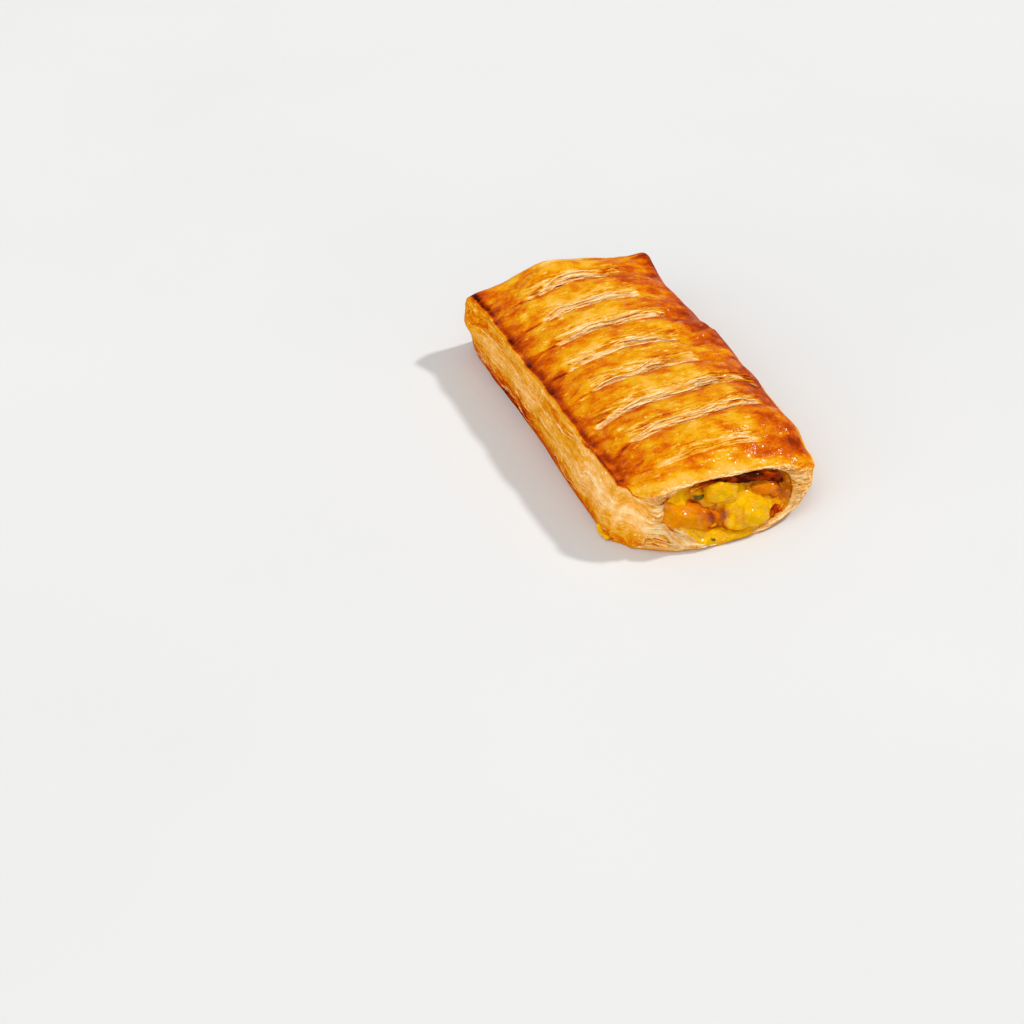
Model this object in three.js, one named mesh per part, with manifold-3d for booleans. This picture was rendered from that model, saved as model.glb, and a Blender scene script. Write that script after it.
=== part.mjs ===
// Chicken puff pastry: a baked sleeve of flaky pastry, slit across its lid, with a curry filling
// running through it and diced chicken showing at both open ends.
// Millimetres, +Z up. The origin is the middle of the resting face, and +Y runs from the front end
// to the rear end.

import * as THREE from 'three';
import { mergeVertices } from 'three/addons/utils/BufferGeometryUtils.js';
import Module from 'manifold-3d';

// The sleeve
const LENGTH = 160;
const BASE_WIDTH = 80.6;
const RIM_REACH = { left: 39.2, right: 37.4 }; // the lid's browned edges, from the middle
const RIM_HEIGHT = 25;
const CROWN = 8.6; // rise of the lid's middle over its edges
const CROWN_POWER = 2.3; // above 2, the lid is flat in the middle and falls near its edges
const WALL_BULGE = 1.5;
const EDGE_WANDER = 0.7; // how far the lid's edges stray from a smooth line
const LID_WANDER = 0.4;

// What the baking did to its outline
const FRONT_TAPER = 3.6; // the lid narrows by this on each side towards the front
const CORNER_FLARE = { left: 0.7, right: 0.8 }; // the lid's rear corners pull out by this
const REAR_LIFT = { left: 0.5, right: -0.8 }; // and rise by this
const WAIST = { depth: 2, middle: 46, halfLength: 16 }; // the right edge draws in here
const FOOT_FLARE = 2; // the left foot spreads by this towards the front
const FOOT_ROUNDING = 4; // the base's front corners are rounded in by this
const REAR_FOOT_LIFT = 1.2;
const PINCH = { length: 26, lift: 7, drop: 5, inset: 2.5 }; // the front right corner, off the plate
const LIP_FALL = { front: 0.72, rear: 0.55, length: 17 }; // share of the crown lost at the lips

// The bowed ends
const BOWED_LENGTH = 20;
const CORNER_SETBACK = {
  front: { left: 10, right: 6.5 },
  rear: { left: 1.5, right: 10 },
};
const CORNER_UPRIGHT = 0.45; // share of that setback that is gone at the lid
const LIP_SETBACK = 3.5; // the lid's lip lies this far behind the base's lip
const LIP_EASE = { front: 0.5, rear: 0 }; // share of that setback that is gone at the corners

// The slits across the lid, and the swell of the strips between them
const SLIT_COUNT = 9;
const SLIT_PITCH = 17.65;
const SLIT_MIDDLE = 2.5; // place of the middle slit along the length
const SLIT_HALF_WIDTH = 3;
const SLIT_DEPTH = 4.6;
const SLIT_REACH = { left: 33, rightFront: 31, rightRear: 19 }; // where they end, from the middle
const SLIT_RUN_OUT = 9;
const SLIT_WANDER = 2;
const LEDGE = { from: 0.48, to: 0.6, drop: 0.28 }; // the step in each side of a slit
const STRIP_SWELL = 1.1;

// The flaky walls and ends
const LAYER_COUNT = 4;
const LAYER_RELIEF = 0.6;
const END_STEPS = 4;
const END_RELIEF = 0.9;

// The mouths, and the tunnel that the filling lies in
const MOUTH_HALF_WIDTH = 27;
const MOUTH_HALF_HEIGHT = 10;
const MOUTH_HEIGHT = 13.8; // its middle over the resting face
const MOUTH_SHIFT = 1.5; // the front mouth lies this far to the right
const MOUTH_SLOPE = -0.06; // and falls to the right
const MOUTH_POWER = 1.1; // above 1, its corners are pointed
const MOUTH_RECESS = 5.5; // depth of its edge behind the base's lip
const TUNNEL_HALF_LENGTH = 70.5;

// The filling
const GAP = 0.35; // clearance between neighbouring solids
const FILLING_INSET = 0.8; // its clearance in the tunnel, where both solids are faceted
const FILLING_REACH = 4; // how far it domes out of a mouth
const FILLING_LUMPS = 0.9;
const TONGUE = { x: 2, reach: 5.5, size: [17, 5, 2.6] }; // sauce that ran over the front base's lip

// Diced chicken: end (-1 front, 1 rear), place across and up the mouth, half sizes, turn in degrees
const CHICKEN = [
  { name: 'front_left', end: -1, x: -11.6, z: 13, size: [8.3, 6.5, 5], turn: [8, 6, -6] },
  { name: 'front_top', end: -1, x: 0.6, z: 18.8, size: [5.6, 5.5, 3.2], turn: [-10, 6, 15] },
  { name: 'front_right', end: -1, x: 7.6, z: 9.8, size: [6.3, 6, 4.8], turn: [5, -12, 10] },
  { name: 'front_far_right', end: -1, x: 19.2, z: 13.7, size: [4.5, 5, 3.8], turn: [12, 20, -12] },
  { name: 'rear_left', end: 1, x: 13.5, z: 12.8, size: [7.8, 6.2, 5], turn: [-8, 6, 6] },
  { name: 'rear_middle', end: 1, x: -2, z: 15, size: [6, 5.6, 4.8], turn: [10, -14, 14] },
  { name: 'rear_right', end: 1, x: -16, z: 12.8, size: [6.6, 5.8, 4.6], turn: [6, 10, -10] },
];
const CHICKEN_SETBACK = 6.2; // a cube's middle lies this far behind the base's lip
const CHICKEN_SQUARENESS = 0.62; // 1 is an ellipsoid, lower is boxier
const CHICKEN_UNEVENNESS = 0.09;

// How finely the surfaces are divided
const LID_COLUMNS = 22;
const WALL_COLUMNS = 9;
const BASE_COLUMNS = 6;
const TUNNEL_RINGS = 6;
const FILLING_COLUMNS = 30;
const DOME_RINGS = 6;
const SLIT_STATIONS = [-1, -0.52, -0.4, 0, 0.4, 0.52, 1]; // in half widths, two at each ledge
const STRIP_STATIONS = [0.4, 0.6]; // in pitches
const FRONT_STATIONS = [0, 0.12, 0.35, 0.68]; // from the lip to the first slit
const REAR_STATIONS = [0.4, 1]; // from the last slit to the lip

const HALF_LENGTH = LENGTH / 2;
const HALF_BASE = BASE_WIDTH / 2;
const { clamp, lerp, smoothstep, degToRad } = THREE.MathUtils;

// A smooth uneven wander between -1 and 1, the same on every run.
function wander(u, v, seed) {
  const slow = Math.sin(0.11 * u - 0.19 * v + 2.3 * seed);
  const middle = Math.sin(0.21 * u + 0.13 * v + 1.7 * seed);
  const quick = Math.sin(0.37 * u + 0.07 * v + 4.1 * seed);
  return (slow + middle + quick) / 3;
}

// A triangle wave between -1 and 1, for stacked layers.
function zigzag(t) {
  return 4 * Math.abs(t - Math.floor(t + 0.5)) - 1;
}

// Outline of the sleeve. side is -1 on the left and 1 on the right.

function hand(side) {
  return side < 0 ? 'left' : 'right';
}

// 1 at the pinched front right corner, fading out along the right edge.
function pinch(side, y) {
  return side > 0 ? smoothstep(-y, HALF_LENGTH - PINCH.length, HALF_LENGTH) : 0;
}

// 0 up to the last quarter of the length, and 1 at the rear end.
function nearRear(y) {
  return smoothstep(y, 0.75 * HALF_LENGTH, HALF_LENGTH);
}

function rimX(side, y) {
  const taper = FRONT_TAPER * smoothstep(-y, 0, HALF_LENGTH);
  const flare = CORNER_FLARE[hand(side)] * nearRear(y);
  const waist = side > 0 ? WAIST.depth * Math.exp(-(((y - WAIST.middle) / WAIST.halfLength) ** 2)) : 0;
  return side * (RIM_REACH[hand(side)] - taper + flare - waist + EDGE_WANDER * wander(y, 0, 3 + side));
}

function rimZ(side, y) {
  const lift = REAR_LIFT[hand(side)] * nearRear(y) - PINCH.drop * pinch(side, y);
  return RIM_HEIGHT + lift + EDGE_WANDER * wander(0, y, 6 + side);
}

function footX(side, y) {
  const flare = side < 0 ? FOOT_FLARE * smoothstep(-y, 0, 0.7 * HALF_LENGTH) : 0;
  const rounding = FOOT_ROUNDING * smoothstep(-y, 0.85 * HALF_LENGTH, HALF_LENGTH) ** 1.5;
  return side * (HALF_BASE + flare - rounding - PINCH.inset * pinch(side, y));
}

function baseZ(x, y) {
  return PINCH.lift * pinch(1, y) * smoothstep(x, 6, HALF_BASE) + REAR_FOOT_LIFT * nearRear(y) ** 2;
}

// The lid's rise at y, which is partly lost towards both lips.
function crownAt(y) {
  const fall = y < 0 ? LIP_FALL.front : LIP_FALL.rear;
  return CROWN * (1 - fall * smoothstep(Math.abs(y), HALF_LENGTH - LIP_FALL.length, HALF_LENGTH) ** 1.3);
}

// Depth of the slits at a place on the lid: stepped V grooves that run out before the edges.
function slitDepth(x, y) {
  const last = SLIT_COUNT >> 1;
  const nearest = clamp(Math.round((y - SLIT_MIDDLE) / SLIT_PITCH), -last, last);
  const rightReach = lerp(SLIT_REACH.rightFront, SLIT_REACH.rightRear, (nearest + last) / (2 * last));
  const reach = (x < 0 ? SLIT_REACH.left : rightReach) + SLIT_WANDER * wander(17 * nearest, 0, 5);
  const runOut = 1 - smoothstep(Math.abs(x), reach - SLIT_RUN_OUT, reach);
  const uneven = 1 + 0.25 * wander(x, 11 * nearest, 8);
  const inward = clamp(1 - Math.abs(y - SLIT_MIDDLE - nearest * SLIT_PITCH) / SLIT_HALF_WIDTH, 0, 1);
  const ledge = smoothstep(inward, LEDGE.from, LEDGE.to);
  return SLIT_DEPTH * uneven * runOut * lerp(inward, ledge, LEDGE.drop);
}

// The swell of the strip between two slits.
function stripSwell(x, y) {
  const phase = (y - SLIT_MIDDLE) / SLIT_PITCH;
  const inStrip = 2 * (phase - Math.floor(phase)) - 1;
  const fade = 1 - smoothstep(Math.abs(x), 0.7 * SLIT_REACH.left, SLIT_REACH.left + SLIT_WANDER);
  return STRIP_SWELL * (1 - inStrip * inStrip) * fade;
}

// Points of the sleeve's outside at a station y. t runs from 0 to 1 over each part of the section.

function lidPoint(t, y) {
  const x = lerp(rimX(1, y), rimX(-1, y), t);
  const edge = lerp(rimZ(1, y), rimZ(-1, y), t);
  const arch = 1 - Math.abs(2 * t - 1) ** CROWN_POWER;
  const rise = arch * (crownAt(y) + LID_WANDER * wander(x, y, 1));
  return [x, y, edge + rise + stripSwell(x, y) - slitDepth(x, y)];
}

function wallPoint(side, t, y) {
  const foot = footX(side, y);
  const layer = zigzag(t * LAYER_COUNT + 0.4 * wander(y, 0, 12 + side));
  const out = WALL_BULGE * Math.sin(Math.PI * t ** 0.8) + LAYER_RELIEF * layer * Math.sin(Math.PI * t);
  return [lerp(foot, rimX(side, y), t) + side * out, y, lerp(baseZ(foot, y), rimZ(side, y), t)];
}

function basePoint(t, y) {
  const x = lerp(footX(-1, y), footX(1, y), t);
  return [x, y, baseZ(x, y)];
}

// The section's columns in order: base to the right, right wall up, lid to the left, left wall down.
// Each also has the angle of the mouth's edge that faces it.
function sectionColumns() {
  const columns = [];
  const add = (count, point, fromAngle, toAngle) => {
    for (let i = 0; i < count; i++) {
      const t = i / count;
      columns.push({ at: (y) => point(t, y), angle: degToRad(lerp(fromAngle, toAngle, t)) });
    }
  };
  add(BASE_COLUMNS, basePoint, 205, 335);
  add(WALL_COLUMNS, (t, y) => wallPoint(1, t, y), 335, 385);
  add(LID_COLUMNS, lidPoint, 385, 515);
  add(WALL_COLUMNS, (t, y) => wallPoint(-1, 1 - t, y), 515, 565);
  return columns;
}

// Moves a point of the sleeve back where the ends are bowed and the lid's lip is short.
function bow([x, y, z]) {
  const end = y < 0 ? 'front' : 'rear';
  const out = (x / HALF_BASE) ** 2;
  const up = clamp(z / RIM_HEIGHT, 0, 1);
  const corner = CORNER_SETBACK[end][hand(x)] * out * (1 - CORNER_UPRIGHT * up);
  const lip = LIP_SETBACK * up * (1 - LIP_EASE[end] * out);
  const share = smoothstep(Math.abs(y), HALF_LENGTH - BOWED_LENGTH, HALF_LENGTH);
  return [x, y - Math.sign(y) * (corner + lip) * share, z];
}

// Stations along the sleeve: close together at each slit, and at the rounded lips.
function stations() {
  const places = [];
  for (let k = 0; k < SLIT_COUNT; k++) {
    const slit = SLIT_MIDDLE + (k - (SLIT_COUNT >> 1)) * SLIT_PITCH;
    places.push(...SLIT_STATIONS.map((share) => slit + share * SLIT_HALF_WIDTH));
    if (k + 1 < SLIT_COUNT) places.push(...STRIP_STATIONS.map((share) => slit + share * SLIT_PITCH));
  }
  const front = FRONT_STATIONS.map((t) => lerp(-HALF_LENGTH, places[0], t));
  const rear = REAR_STATIONS.map((t) => lerp(places.at(-1), HALF_LENGTH, t));
  return [...front, ...places, ...rear];
}

// A point of a mouth's edge at an angle round it. The front mouth slopes, and the rear one is level.
function mouthPoint(end, angle, inset = 0) {
  const x = (end < 0 ? MOUTH_SHIFT : 0) + (MOUTH_HALF_WIDTH - inset) * Math.cos(angle);
  const lens = Math.sign(Math.sin(angle)) * Math.abs(Math.sin(angle)) ** MOUTH_POWER;
  const slope = end < 0 ? MOUTH_SLOPE * x : 0;
  const z = MOUTH_HEIGHT + slope + (MOUTH_HALF_HEIGHT - inset) * lens;
  return [x, end * (HALF_LENGTH - MOUTH_RECESS), z];
}

function tunnelPoint(angle, y, inset = 0) {
  const x = (MOUTH_HALF_WIDTH - inset) * Math.cos(angle);
  return [x, y, MOUTH_HEIGHT + (MOUTH_HALF_HEIGHT - inset) * Math.sin(angle)];
}

// Stations along the tunnel, from its front to its rear.
function tunnelStations() {
  return [...Array(TUNNEL_RINGS).keys()].map((k) => TUNNEL_HALF_LENGTH * ((2 * k + 1) / TUNNEL_RINGS - 1));
}

// Rings of an end face, from the outer edge to the mouth, stepped like the edges of the layers.
function endFaceRings(end, columns, outer) {
  const rings = [];
  for (let step = 1; step <= END_STEPS; step++) {
    const stepOut = step % 2 ? END_RELIEF : -END_RELIEF;
    rings.push(
      columns.map(({ angle }, i) => {
        const edge = new THREE.Vector3(...outer[i]);
        const point = edge.lerp(new THREE.Vector3(...mouthPoint(end, angle)), step / (END_STEPS + 1));
        point.y += end * stepOut * (0.6 + 0.4 * wander(3 * point.x, 5 * point.z, step));
        return point.toArray();
      }),
    );
  }
  rings.push(columns.map(({ angle }) => mouthPoint(end, angle)));
  return rings;
}

// Triangles between neighbouring rings of points. With closed, the last ring meets the first.
function ringTriangles(rings, closed) {
  const count = rings[0].length;
  const triangles = [];
  for (let j = 0; j < rings.length - (closed ? 0 : 1); j++) {
    const near = rings[j];
    const far = rings[(j + 1) % rings.length];
    for (let i = 0; i < count; i++) {
      const next = (i + 1) % count;
      triangles.push(near[i], far[i], near[next], near[next], far[i], far[next]);
    }
  }
  return triangles;
}

// A fan that closes a ring at its middle.
function capTriangles(ring, facesFront) {
  const pole = [0, 1, 2].map((k) => ring.reduce((sum, point) => sum + point[k], 0) / ring.length);
  return ring.flatMap((point, i) => {
    const next = ring[(i + 1) % ring.length];
    return facesFront ? [pole, point, next] : [pole, next, point];
  });
}

function geometryOf(triangles) {
  const geometry = new THREE.BufferGeometry();
  geometry.setAttribute('position', new THREE.Float32BufferAttribute(triangles.flat(), 3));
  return mergeVertices(geometry, 1e-4);
}

// The sleeve is one ring of rings: along its outside, in at the rear, back through the tunnel.
function sleeveGeometry() {
  const columns = sectionColumns();
  const outside = stations().map((y) => columns.map(({ at }) => bow(at(y))));
  const rearFace = endFaceRings(1, columns, outside.at(-1));
  const frontFace = endFaceRings(-1, columns, outside[0]);
  const tunnel = tunnelStations().map((y) => columns.map(({ angle }) => tunnelPoint(angle, y)));
  const rings = [...outside, ...rearFace, ...tunnel.reverse(), ...frontFace.reverse()];
  return geometryOf(ringTriangles(rings, true));
}

// The filling: a core through the tunnel, domed and lumpy where it comes out of the mouths.
function fillingGeometry() {
  const angles = [...Array(FILLING_COLUMNS).keys()].map((i) => (2 * Math.PI * i) / FILLING_COLUMNS);
  const dome = (end, share) => {
    const out = FILLING_REACH * Math.sqrt(1 - share * share);
    return angles.map((angle) => {
      const [x, y, z] = mouthPoint(end, angle, FILLING_INSET);
      const across = x * share;
      const up = lerp(MOUTH_HEIGHT, z, share);
      const lump = FILLING_LUMPS * (1 - share) * (1 + wander(6 * across, 7 * up, 2 + end));
      return [across, y + end * (out + lump), up];
    });
  };
  const shares = [...Array(DOME_RINGS).keys()].map((k) => 1 - k / DOME_RINGS);
  const front = shares.map((share) => dome(-1, share)).reverse();
  const core = tunnelStations().map((y) => angles.map((angle) => tunnelPoint(angle, y, FILLING_INSET)));
  const rear = shares.map((share) => dome(1, share));
  const rings = [...front, ...core, ...rear];
  const caps = [...capTriangles(rings[0], true), ...capTriangles(rings.at(-1), false)];
  return geometryOf([...ringTriangles(rings, false), ...caps]);
}

// The tongue of sauce that has run out over the base's lip at the front.
function tongueGeometry() {
  const geometry = new THREE.SphereGeometry(1, 16, 8).scale(...TONGUE.size);
  const [, y, z] = mouthPoint(-1, -Math.PI / 2);
  return geometry.translate(TONGUE.x, y - TONGUE.reach + TONGUE.size[1], z);
}

// One dice of chicken: a rounded uneven box, grown by a margin for the pocket that it sits in.
function chickenGeometry(piece, seed, margin) {
  const geometry = new THREE.IcosahedronGeometry(1, 2);
  const position = geometry.getAttribute('position');
  const square = (v) => Math.sign(v) * Math.abs(v) ** CHICKEN_SQUARENESS;
  for (let i = 0; i < position.count; i++) {
    const point = new THREE.Vector3().fromBufferAttribute(position, i);
    const uneven = 1 + CHICKEN_UNEVENNESS * wander(14 * point.x, 14 * point.y + 9 * point.z, seed);
    const [a, b, c] = piece.size.map((half) => half * uneven + margin);
    position.setXYZ(i, a * square(point.x), b * square(point.y), c * square(point.z));
  }
  const turn = new THREE.Euler(...piece.turn.map(degToRad));
  const place = new THREE.Vector3(piece.x, piece.end * (HALF_LENGTH - CHICKEN_SETBACK), piece.z);
  return geometry.applyMatrix4(new THREE.Matrix4().makeRotationFromEuler(turn).setPosition(place));
}

// Cuts and joins, on closed geometries.
const wasm = await Module();
wasm.setup();

function solidOf(geometry) {
  const bare = new THREE.BufferGeometry();
  bare.setAttribute('position', geometry.getAttribute('position'));
  if (geometry.index) bare.setIndex(geometry.index);
  const merged = mergeVertices(bare, 1e-4);
  const vertProperties = merged.getAttribute('position').array;
  const triVerts = new Uint32Array(merged.index.array);
  return new wasm.Manifold(new wasm.Mesh({ numProp: 3, vertProperties, triVerts }));
}

function geometryFrom(solid) {
  const { vertProperties, triVerts } = solid.getMesh();
  const geometry = new THREE.BufferGeometry();
  geometry.setAttribute('position', new THREE.Float32BufferAttribute(vertProperties, 3));
  geometry.setIndex(new THREE.BufferAttribute(triVerts, 1));
  return geometry;
}

function material(color, roughness) {
  return new THREE.MeshStandardMaterial({ color, roughness, metalness: 0 });
}

function mesh(name, geometry, finish) {
  const made = new THREE.Mesh(geometry, finish);
  made.name = name;
  geometry.computeVertexNormals();
  return made;
}

const pastry = new THREE.Group();
const sleeve = sleeveGeometry();
pastry.add(mesh('pastry_sleeve', sleeve, material(0xd9962f, 0.45)));

// The tongue lies on the lip, clear of it above and in front.
const lip = solidOf(sleeve).translate([0, -GAP, 0]);
const tongue = solidOf(tongueGeometry()).subtract(lip).subtract(lip.translate([0, 0, GAP]));
let filling = solidOf(fillingGeometry()).add(tongue);
CHICKEN.forEach((piece, seed) => {
  filling = filling.subtract(solidOf(chickenGeometry(piece, seed, GAP)));
  pastry.add(mesh(`chicken_${piece.name}`, chickenGeometry(piece, seed, 0), material(0xe3b878, 0.5)));
});
pastry.add(mesh('curry_filling', geometryFrom(filling), material(0xd8ab1e, 0.35)));

// The whole is centred over the origin, so that the middle of its box is the middle of its rest.
const middle = new THREE.Box3().setFromObject(pastry).getCenter(new THREE.Vector3());
for (const piece of pastry.children) piece.geometry.translate(-middle.x, -middle.y, 0);

export default pastry;
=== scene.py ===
"""A chicken puff pastry as baked: a glazed lid with slits, flaky walls, curry filling and diced chicken.

Shapes are worked out in millimetres from the same sizes as the solids, and go to Blender in metres.
"""

import bpy
import numpy as np
from mathutils import Euler, Matrix, Vector


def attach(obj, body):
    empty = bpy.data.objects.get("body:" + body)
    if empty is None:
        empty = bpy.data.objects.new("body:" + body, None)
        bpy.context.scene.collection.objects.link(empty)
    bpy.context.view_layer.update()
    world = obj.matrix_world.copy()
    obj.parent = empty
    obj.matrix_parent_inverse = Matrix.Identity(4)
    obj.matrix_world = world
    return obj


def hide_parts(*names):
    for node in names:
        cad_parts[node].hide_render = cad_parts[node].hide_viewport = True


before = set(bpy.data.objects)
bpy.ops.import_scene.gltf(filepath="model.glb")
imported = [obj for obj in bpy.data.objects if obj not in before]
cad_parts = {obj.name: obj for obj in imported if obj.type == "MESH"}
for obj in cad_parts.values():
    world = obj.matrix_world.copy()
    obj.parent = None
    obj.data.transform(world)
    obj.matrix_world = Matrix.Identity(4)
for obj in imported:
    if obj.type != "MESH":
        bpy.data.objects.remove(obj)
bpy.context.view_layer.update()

MM = 0.001
CENTRE = np.array([0.554, 0.242, 0.0])  # puts the middle of the pastry's box over the origin
FRONT, REAR = -1, 1
LEFT, RIGHT = -1, 1

# The sleeve
HALF_LENGTH = 80.0
HALF_BASE = 40.3
RIM_REACH = {LEFT: 39.2, RIGHT: 37.4}
RIM_HEIGHT = 25.0
CROWN = 8.6
CROWN_POWER = 2.3
WALL_BULGE = 1.5
EDGE_WANDER = 0.7
LID_WANDER = 0.4
FRONT_TAPER = {LEFT: 1.2, RIGHT: 2.2}
CORNER_FLARE = {LEFT: 1.6, RIGHT: 0.8}
REAR_LIFT = {LEFT: 1.8, RIGHT: 1.2}
WAIST_DEPTH, WAIST_MIDDLE, WAIST_HALF_LENGTH = 1.0, 46.0, 14.0
HIP_REACH, HIP_MIDDLE, HIP_HALF_LENGTH = 1.3, 3.0, 14.0
FOOT_FLARE = 2.0
FOOT_ROUNDING = {LEFT: 2.5, RIGHT: 4.0}
REAR_FOOT_LIFT = 1.2
PINCH_LENGTH, PINCH_LIFT, PINCH_DROP, PINCH_INSET = 26.0, 5.0, 5.0, 2.5
LIP_FALL = {FRONT: 0.62, REAR: 0.45}
LIP_FALL_LENGTH = 17.0
BOWED_LENGTH = 20.0
CORNER_SETBACK = {FRONT: {LEFT: 6.0, RIGHT: 6.5}, REAR: {LEFT: 1.5, RIGHT: 10.0}}
CORNER_UPRIGHT = 0.45
CORNER_TURN, CORNER_TURN_START, CORNER_TURN_LENGTH = 4.0, 19.0, 16.0  # rounds off the front left corner
LIP_SETBACK = 4.3
LIP_EASE = {FRONT: 0.5, REAR: 0.0}
END_ROUNDING = {FRONT: {LEFT: 6.5, RIGHT: 4.0}, REAR: {LEFT: 4.0, RIGHT: 5.0}}  # draws the walls in
END_ROUNDING_LENGTH = {FRONT: 26.0, REAR: 12.0}
BASE_REACH = 3.0  # how far the base's lip stands out at the front
LIP_ROUNDING, LIP_ROUNDING_LENGTH = 1.8, 5.0
RIM_ROUNDING, RIM_DROP, RIM_INSET = 4.5, 1.1, 0.9  # how wide and deep the right rim is rounded
RIM_CORNER, RIM_CORNER_LENGTH = {LEFT: 2.2, RIGHT: 0.0}, 20.0

# The slits, from the front one to the rear one
SLIT_COUNT = 9
SLIT_PITCH = 17.65
SLIT_MIDDLE = 2.5
SLIT_DEPTH = 3.4
SLIT_LEFT_END = np.array([31, 30, 36, 28, 31, 28, 27, 26, 14])
SLIT_RIGHT_END = np.array([20, 31, 36, 19, 20, 24, 20, 21, 12])
SLIT_STRENGTH = np.array([0.32, 0.75, 1.0, 1.05, 1.05, 0.9, 0.7, 0.8, 0.25])
SLIT_SLOPE = 3.5  # the flaky side, which faces the front
SLIT_DROP = 1.7  # the steep side, under the next strip's edge
SLIT_AHEAD = 6.0  # where the stretch that belongs to a slit begins, before its valley
VALLEY_SHIFT = -1.0  # the valley lies nearer the front than the slit's middle
SLIT_LAYERS = 4
SLIT_STEPPED = 1.4, 2.8  # slopes between which the layers begin to show as steps
FRONT_LEAN, MIDDLE_LEAN = 4.0, -3.0  # how far the right ends of slits lean to the rear
STRIP_SWELL = 1.1
VALLEYS = SLIT_MIDDLE + VALLEY_SHIFT + SLIT_PITCH * (np.arange(SLIT_COUNT) - SLIT_COUNT // 2)
GOUGES = ((-36, 33), (-33, 3), (-31, -11.5), (-32, -53), (-29, -63), (-35, 18), (24.5, -52))
GOUGE_HALF_LENGTH, GOUGE_HALF_WIDTH, GOUGE_LEAN = 2.8, 0.75, 0.35  # short dark creases
DIMPLE_X, DIMPLE_Y, DIMPLE_DEPTH = 25, 20, 2.5  # where the lid has sunk on its right

# The mouths
MOUTH_HALF_WIDTH = {FRONT: 24.8, REAR: 27.0}
MOUTH_HALF_HEIGHT = 10.6
MOUTH_HEIGHT = 13.8
MOUTH_SHIFT = {FRONT: -0.8, REAR: 0.0}
MOUTH_SLOPE = {FRONT: -0.10, REAR: 0.0}
MOUTH_POWER = 1.1
BLUNT_POWER = 0.45  # at the upper right of the front mouth
MOUTH_Y = {FRONT: 77.0, REAR: 75.0}
MOUTH_LEAN = {FRONT: 0.3, REAR: 0.2}  # how far the mouths lean back to the top
FACE_BAKE = {FRONT: 0.23, REAR: 0.24}  # how far the dry layers beside the mouths are baked
CORNER_ANGLE = 25  # from the seam to the corners of the sleeve, in degrees around the mouths
TUNNEL_HALF_LENGTH = 70.5

# The filling, the sauce on the base's lip and the leak of sauce
FILLING_REACH = 1.8
SAUCE_MIDDLE, SAUCE_HALF_WIDTH = -4.0, 17.5
LEAK_PLACE = np.array([-41.8, -60.5, 1.2])
LEAK_HALF_SIZES = np.array([2.2, 4.2, 1.6])
LOWEST = 0.05  # keeps sauce and flakes above the floor

# The burnt edges: the end, first and last degree around its mouth, thickness, bake and seed,
# how many thicknesses they lie inside the mouth's edge, and how far they stand out
BURNT_EDGES = {
    "front_burnt_edge": (FRONT, 140, 14, 1.9, 0.93, 131, 1.2, 0.9),
    "rear_burnt_edge": (REAR, 150, 66, 1.7, 0.95, 141, 1.2, 0.9),
    "front_side_edge": (FRONT, -22, -60, 1.6, 0.74, 151, 1.9, 1.9),
}

# The chicken: the end, place across and up, half sizes, turn in degrees, and least and most browning
CHICKEN_SETBACK = 4.6
CHICKEN = {
    "chicken_front_left": (FRONT, -16.4, 12.4, (11.0, 5.8, 5.2), (6, 22, -4), (0.38, 0.95)),
    "chicken_front_top": (FRONT, -2.8, 17.4, (7.4, 4.8, 4.8), (-10, 16, 12), (0.1, 0.26)),
    "chicken_front_right": (FRONT, 6.8, 8.4, (6.6, 6.0, 6.0), (5, 6, 10), (0.05, 0.18)),
    "chicken_front_far_right": (FRONT, 14.6, 14.6, (6.4, 4.6, 3.8), (12, 18, -12), (0.5, 1.0)),
    "chicken_rear_left": (REAR, 13.5, 12.8, (7.8, 6.2, 5.0), (-8, 6, 6), (0.35, 0.8)),
    "chicken_rear_middle": (REAR, -2.0, 15.0, (6.0, 5.6, 4.8), (10, -14, 14), (0.1, 0.3)),
    "chicken_rear_right": (REAR, -16.0, 12.8, (6.6, 5.8, 4.6), (6, 10, -10), (0.2, 0.6)),
}

# Bits of leaf in the filling: the end that they are at, their places across and up, and half lengths
HERBS = (
    (FRONT, -12.4, 18.6, 2.0), (FRONT, -10.0, 3.6, 0.8),
    (REAR, 5.5, 11.0, 1.4), (REAR, -9.0, 18.0, 1.7), (REAR, -3.0, 6.0, 1.2),
)

# The flakes: how many there are, and places along one
FLAKES_IN_A_SLIT, FLAKES_ON_A_WALL, FLAKES_AT_AN_END = 16, 60, 130
FLAKE_STATIONS = 20

# How finely the dough and the filling are divided
LID_COLUMNS = 116
RIM_COLUMNS = 10
WALL_COLUMNS = 36
BASE_COLUMNS = 28
SLIT_ROWS = 26
STRIP_ROWS = 11
END_ROWS = 16
FACE_RINGS = 26
TUNNEL_RINGS = 5
FILLING_COLUMNS = 150
FILLING_RINGS = 36

# The floor in metres: its size, its rise, and how far out the rise begins and ends
FLOOR_SIZE, FLOOR_RISE, RISE_START, RISE_END = 12.0, 1.1, 2.5, 8.5

# The lights: where they come from, their strength, and the angle that they span in degrees
LIGHTS = {
    "key_light": ((0.66, -0.06, 0.72), 1.9, 5),
    "fill_light": ((-1.0, -0.75, 0.3), 2.35, 90),
    "top_light": ((0.0, -0.45, 1.2), 0.6, 90),
    "back_light": ((-0.3, 0.9, 0.6), 0.6, 120),
}
WORLD_STRENGTH = 0.28

# The camera: its place in metres, its turn in degrees, and its sensor and focal length in millimetres
CAMERA_PLACE = (-0.268086, -0.572590, 0.439)
CAMERA_TURN = (52.6306, 2.1538, -22.1441)
CAMERA_SENSOR, CAMERA_LENS = 36.0, 69.36

rng = np.random.default_rng(41)


# Small sums

ALL_BITS = 0xFFFFFFFF  # keeps the mixed numbers to 32 bits


def ease(t):
    return t * t * (3 - 2 * t)


def smooth(value, low, high):
    return ease(np.clip((value - low) / (high - low), 0, 1))


def lerp(a, b, t):
    return a + (b - a) * t


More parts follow.
